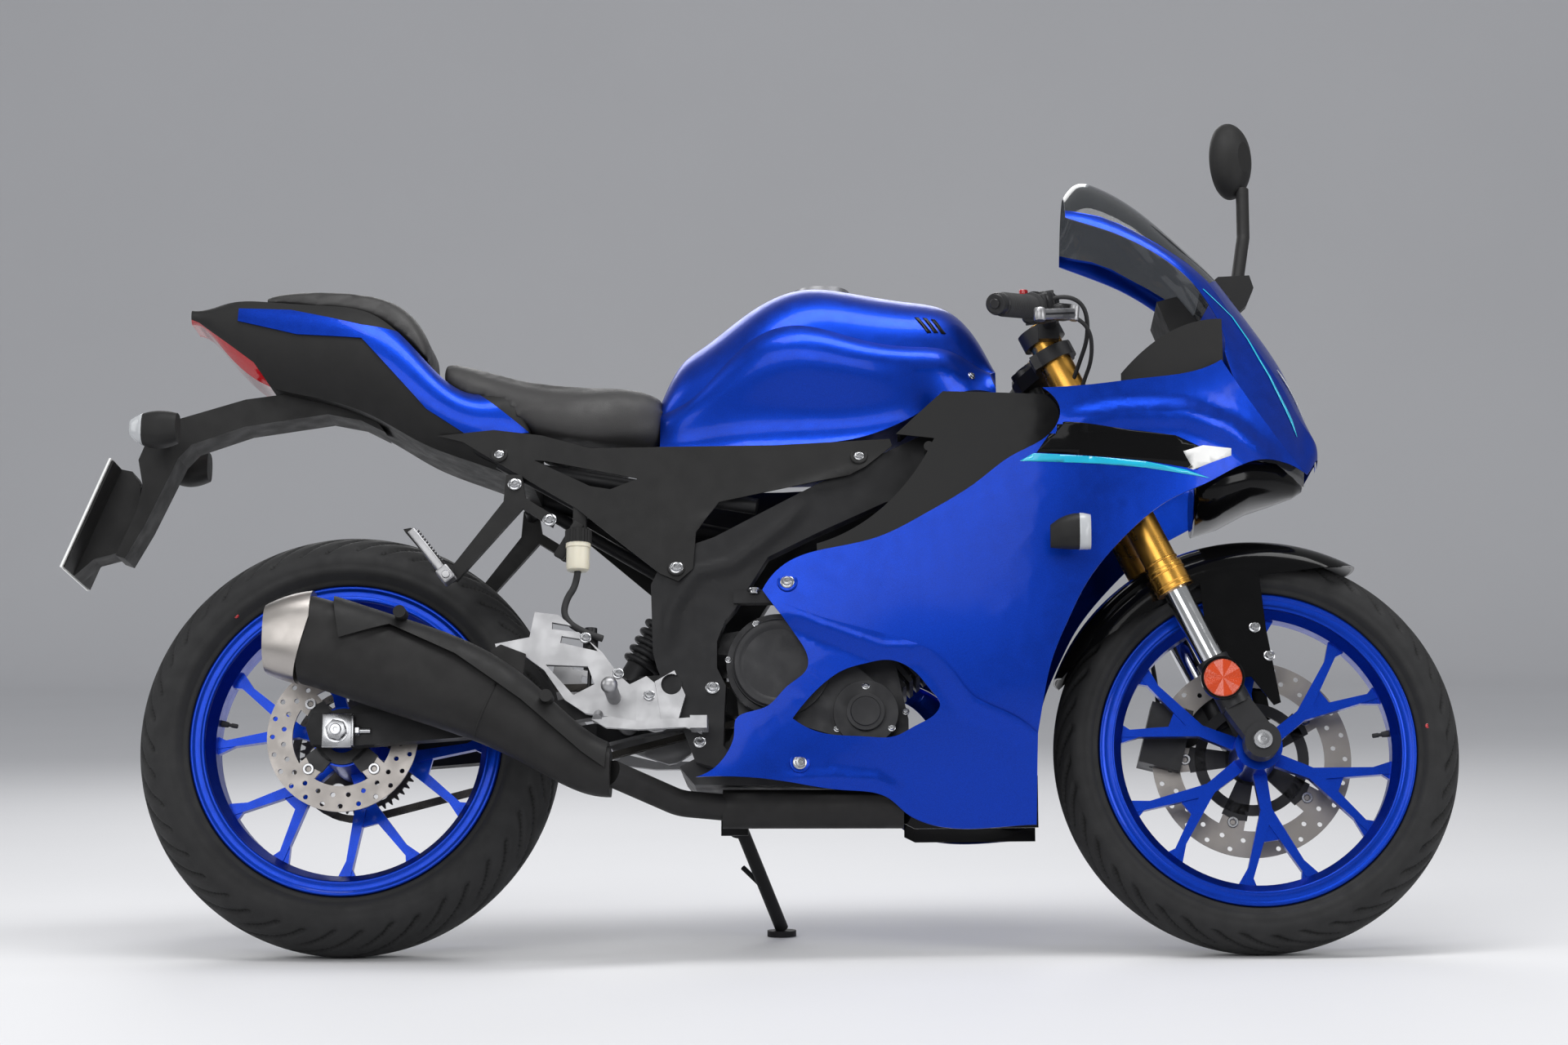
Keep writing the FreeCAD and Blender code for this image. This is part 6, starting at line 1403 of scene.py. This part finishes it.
# %% Engine covers
clutch_ring = [
    (0, -0.5), (0, 0.6), (50, 0.6), (53, 2.6), (57, 3.6), (62, 3.2), (65, 0.6), (66.6, -4),
    (66.6, -11), (74.6, -11.4), (75.2, -14), (75.2, -30), (60, -30),
]
crank_ring = [
    (0, 0.3), (14, 0.3), (17, 1.4), (20.5, 1.8), (22, -0.2), (24, -0.2), (27.5, -2),
    (27.5, -9.6), (46.5, -9.9), (47, -12), (47, -30), (30, -30),
]
turned("cover_rings", "chassis", "engine_metal", [
    (clutch_ring, (-28, -138, 404), (0, -1, 0), 72),
    (crank_ring, (97, -132, 335), (0, -1, 0), 56),
], 30.0)
engine_skin = drawn_tree("engine")
flanged_bolts("engine_bolts", "chassis", [
    (engine_skin, 5.5, [
        (-66, 474), (-100, 412), (97, 373), (154, 341), (56, 312), (134, 312),
    ], (-1,)),
    (engine_skin, 5.5, [(40, 428), (-32, 372), (104, 300), (110, 390)], (1,)),
])

# %% [markdown]
# Each branch of a spoke widens to a small web where it meets the rim, and the
# crotch of each pair is closed by another. Both are flat three-sided plates,
# made once and turned round the axle.

# %% Webs and valves of the wheels
RIM_INSIDE = 197


def wheel_webs(end, turn, spread, fork):
    """Six pairs of branches; fork is the radius at which a pair parts."""
    axle = AXLES[end]
    bm = bmesh.new()
    at_rim = ([(168, 0), (RIM_INSIDE, -14), (RIM_INSIDE, 14)], 6.5)
    at_fork = ([(fork, 0), (fork + 27, -13.5), (fork + 27, 13.5)], 4.5)
    for spoke in range(6):
        for tilt, (outline, half) in ((-spread / 2, at_rim), (spread / 2, at_rim), (0, at_fork)):
            angle = math.radians(60 * spoke - turn + tilt)
            c, s = math.cos(angle), math.sin(angle)
            corners = [(axle.x + r * c - t * s, axle.z + r * s + t * c) for r, t in outline]
            plate(bm, corners, -half, half)
    shaped(end + "_webs", bm, end + "_wheel", "blue_paint", 30.0)


wheel_webs("front", turn=21.6, spread=27.0, fork=104.0)
wheel_webs("rear", turn=15.0, spread=30.0, fork=96.0)

VALVE = [
    (0, 0), (2.6, 0), (3.4, 1), (3.4, 9), (2.6, 9.4), (2.6, 13), (4, 14), (5, 22), (5, 26), (0, 26),
]
for end, degrees in (("front", 8.0), ("rear", 170.0)):
    way = radial(degrees)
    turned(end + "_valve", end + "_wheel", "grip_rubber", [
        (VALVE, AXLES[end] + way * 172, way, 20),
    ], 35.0)

# %% [markdown]
# The tyre's light spot is marked with a small red dot, which is paint.

# %% Dots on the tyres
DOT = [(0, 0.8), (3.4, 0.8), (3.8, 0.2), (3.8, -2.5), (0, -2.5)]
DOT_RADIUS = 246.0
for end, y, degrees in (("rear", 67.6, 132.0), ("front", 48.6, 7.0)):
    place = AXLES[end] + radial(degrees) * DOT_RADIUS - Vector((0, y, 0))
    turned(end + "_dot", end + "_wheel", "red_lens", [(DOT, place, (0, -1, 0), 20)])

# %% [markdown]
# Levers are flat forged blades on a pivot. The brake's master cylinder sits
# beside the right grip, and the clutch lever's cable holder beside the left.

# %% Levers and clamps
def levers():
    """A blade from its pivot to a round tip ahead of the bar's end."""
    bm = bmesh.new()
    for side in BOTH:
        way, ahead = BAR_INWARD[side], BAR_AHEAD[side]
        pivot = BAR_ENDS[side] + way * LEVER_IN + ahead * 56
        tip = BAR_ENDS[side] + ahead * 62 + Vector((0, 0, -6))
        run = tip - pivot
        rounded_block(bm, (run.length * 0.94, 9.5, 15), along(pivot + run * 0.5, run), 3.6, 3)
        lathe(bm, pin(8.4, 9, 1.4, 2), tip, (0, 0, 1), 24)
        lathe(bm, pin(7, 11), pivot, (0.1, 0, 1), 20)
    shaped("lever_blades", bm, "steering", "cast_silver", 40.0)


levers()


def bar_hardware():
    """On each side the clamp, what it holds, and the cap on top of the fork leg."""
    bm = bmesh.new()
    for side in BOTH:
        way = BAR_INWARD[side]
        clamp = BAR_ENDS[side] + way * CLAMP_IN
        cylinder = clamp + BAR_AHEAD[side] * 26 + Vector((0, 0, -2))
        rounded_block(bm, (24, 40, 36), along(clamp, way), 6.0, 3)
        rounded_block(bm, (52, 26, 24), along(cylinder, way), 7.0, 3)
        lathe(bm, [
            (0, 4), (9, 4), (9, 8.5), (12.5, 8.5), (15.5, 6), (17.8, 2), (17.8, -2), (0, -2),
        ], on_leg(893, side), STEER_UP, 28)
    shaped("bar_hardware", bm, "steering", "dark_casting", 40.0)


bar_hardware()

# %% [markdown]
# The reflectors have a black bezel, and bright bolts hold the mudguard.

# %% Reflectors and mudguard bolts
REFLECTOR = (607.0, 124.0, 380.4)
outward("reflector_bezels", "steering", "gloss_black", [
    (28.2, -1), (31.2, -1), (31.2, 8.2), (30, 9.6), (28, 9.6), (27.2, 8.2), (28.2, 7.6),
], REFLECTOR, 48, 40.0)
guard_skin = drawn_tree("front_mudguard")
flanged_bolts("guard_bolts", "steering", [(guard_skin, 8.5, [(660, 466), (680, 424)], BOTH)])

# %% [markdown]
# The discs' carriers are black plates over the steel arms. Where the band is
# held, a round bobbin sits on each arm and shows on both sides of the disc.

# %% Disc carriers
def disc_carrier(end, y, rings, arm, bobbin, arms):
    """Rings are (inner, outer, turns); arm is (radius, half angle) near and far.

    Bobbin is the radius at which the heads sit, one on each of the arms.
    """
    axle = AXLES[end]
    bm = bmesh.new()
    half = 2.7
    for inner, outer, turns in rings:
        lathe(bm, [
            (inner, -half), (outer, -half), (outer, half), (inner, half), (inner, -half),
        ], axle + Vector((0, y, 0)), (0, 1, 0), turns)
    (near, near_half), (far, far_half) = arm
    middles = [360 * (index + 0.5) / arms for index in range(arms)]
    for middle in middles:
        plate(bm, [
            around(axle, near, middle - near_half), around(axle, far, middle - far_half),
            around(axle, far + 3, middle), around(axle, far, middle + far_half),
            around(axle, near, middle + near_half),
        ], y - half, y + half)
    shaped(end + "_carrier", bm, end + "_wheel", "disc_steel", 30.0, "dark_casting")
    head = [(0, 0), (3.4, 0), (3.8, 2.0), (5.0, 3.4), (7.6, 3.4), (8.4, 2.4), (8.4, 0)]
    heads = []
    for middle in middles:
        x, z = around(axle, bobbin, middle)
        heads += [(head, (x, y + side * 2.0, z), (0, side, 0), 20) for side in BOTH]
    turned(
        end + "_carrier_bobbins", end + "_wheel", "disc_steel", heads, 35.0, "zinc_plate",
    )


disc_carrier(
    "front", y=60.0, rings=[(22, 39, 48), (68, 84, 64)],
    arm=((36, 18.6), (92, 12.0)), bobbin=98.0, arms=5,
)
disc_carrier(
    "rear", y=-80.0, rings=[(24, 41, 48)],
    arm=((38, 22.6), (60, 16.4)), bobbin=67.5, arms=4,
)

# %% [markdown]
# A cast rim isn't flat at its side: it ends in a rounded lip, and a shallow
# step lies inside it. A turned ring on each side gives both, so that a bright
# line runs round the wheel as in the photograph.

# %% Lips of the rims
RIM_LIP = [
    (208.2, -4), (206.4, -2), (206.6, 0.2), (208.4, 1.6), (210.8, 1.8), (212.6, 0.8), (214, 0.5),
    (220, 0.5), (222, 1.0), (224, 2.4), (226.4, 3.0), (228.6, 2.2), (229.5, 0.6), (229.5, -3),
]
for end, half in (("front", 36.0), ("rear", 52.0)):
    place = (AXLES[end].x, half, AXLES[end].z)
    outward(end + "_lips", end + "_wheel", "blue_paint", RIM_LIP, place, 144)

# %% [markdown]
# The reservoir of the rear brake is a clear cup under a black ribbed cap. The
# ribs are a ring of points whose radius goes up and down, pushed up.

# %% Rear brake reservoir
RESERVOIR = Vector((-318, -138, 0))
CAP_LOW, CAP_HIGH, RIB_COUNT = 582, 601, 24
UP = (0, 0, 1)
cup = turned("reservoir_cup", "chassis", "reservoir_plastic", [([
    (0, 541), (13, 541), (16, 543), (17, 547), (17, 575), (18.2, 576), (18.2, 582), (0, 582),
], RESERVOIR, UP, 36)], 40.0)
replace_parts(cup, "brake_reservoir")


def reservoir_cap():
    """The ribbed ring is drawn lying and turned up; the lid and the bracket follow."""
    bm = bmesh.new()
    lying = Vector((RESERVOIR.x, 0, -RESERVOIR.y))
    ribs = [
        around(lying, 19.6 - 1.3 * (index % 2), 180 / RIB_COUNT * index)
        for index in range(2 * RIB_COUNT)
    ]
    plate(bm, ribs, CAP_LOW, CAP_HIGH)
    bm.transform(Matrix(((1, 0, 0, 0), (0, 0, -1, 0), (0, 1, 0, 0), (0, 0, 0, 1))))
    lathe(bm, [(0, 600), (16.5, 600), (16.5, 602.4), (15, 603.4), (0, 603.4)], RESERVOIR, UP, 36)
    rounded_block(bm, (20, 14, 82), Matrix.Translation((-318, -118, 613)), 2.0, 2)
    rounded_block(bm, (16, 10, 60), along((-333, -126, 590), (0.86, 0, -0.5)), 2.0, 2)
    shaped("reservoir_cap", bm, "chassis", "matte_black", 35.0)


reservoir_cap()

# %% [markdown]
# Small marks of making: turned rings at the lower end of each gold tube, the
# weld round the silencer, the foot plate of the mirror, and the slanted fields
# of the orange reflectors.

# %% Rings, weld and foot plate
turned("fork_rings", "steering", "gold_anodising", [
    ([
        (radius - 2.5, -1.6), (radius, -1.6), (radius + 0.5, -0.9), (radius + 0.5, 0.9),
        (radius, 1.6), (radius - 2.5, 1.6),
    ], on_leg(500, side) + STEER_UP * height, STEER_UP, 40)
    for side in BOTH
    for height, radius in ((1.5, 27.9), (9.0, 27.9), (28.0, 28.1), (34.5, 27.2), (46.0, 25.3))
])
silencer_skin = drawn_tree("muffler")
film("silencer_weld", silencer_skin, [
    [(-423.6, 359), (-420.4, 359), (-454.4, 282), (-457.6, 282)],
], "satin_exhaust", lift=0.9, sides=(-1,))
flat("mirror_foot", "matte_black", [
    (604, 1000), (612, 1034), (640, 1058), (688, 1060), (694, 1040), (682, 1012), (652, 984),
], [(126, 146)], 40.0)


def reflector_fields():
    """Twelve slanted triangles round a tip, on a flat base."""
    bm = bmesh.new()
    x0, y0, z0 = REFLECTOR
    for side in BOTH:
        centre = Vector((x0, side * y0, z0))
        tip = bm.verts.new(centre + Vector((0, side * 9.4, 0)))
        rim, base = [], []
        for index in range(12):
            x, z = around(centre, 26.8, 30 * index)
            rim.append(bm.verts.new((x, centre.y + side * (9.6 if index % 2 else 7.9), z)))
            base.append(bm.verts.new((x, centre.y + side * 5.0, z)))
        bm.faces.new(base)
        for index in range(12):
            after = (index + 1) % 12
            bm.faces.new((rim[index], rim[after], tip))
            bm.faces.new((base[index], base[after], rim[after], rim[index]))
    shaped("reflector_fields", bm, "steering", "amber_lens", smooth=False)


reflector_fields()

# %% [markdown]
# Below, the fairing is lined with black: a flat panel inside each lower half.

# %% Belly lining
flat("belly_lining", "gloss_black", [
    (150, 182), (166, 174), (343, 175), (343, 250), (150, 250),
], [(-72.5, -69.5), (69.5, 72.5)])
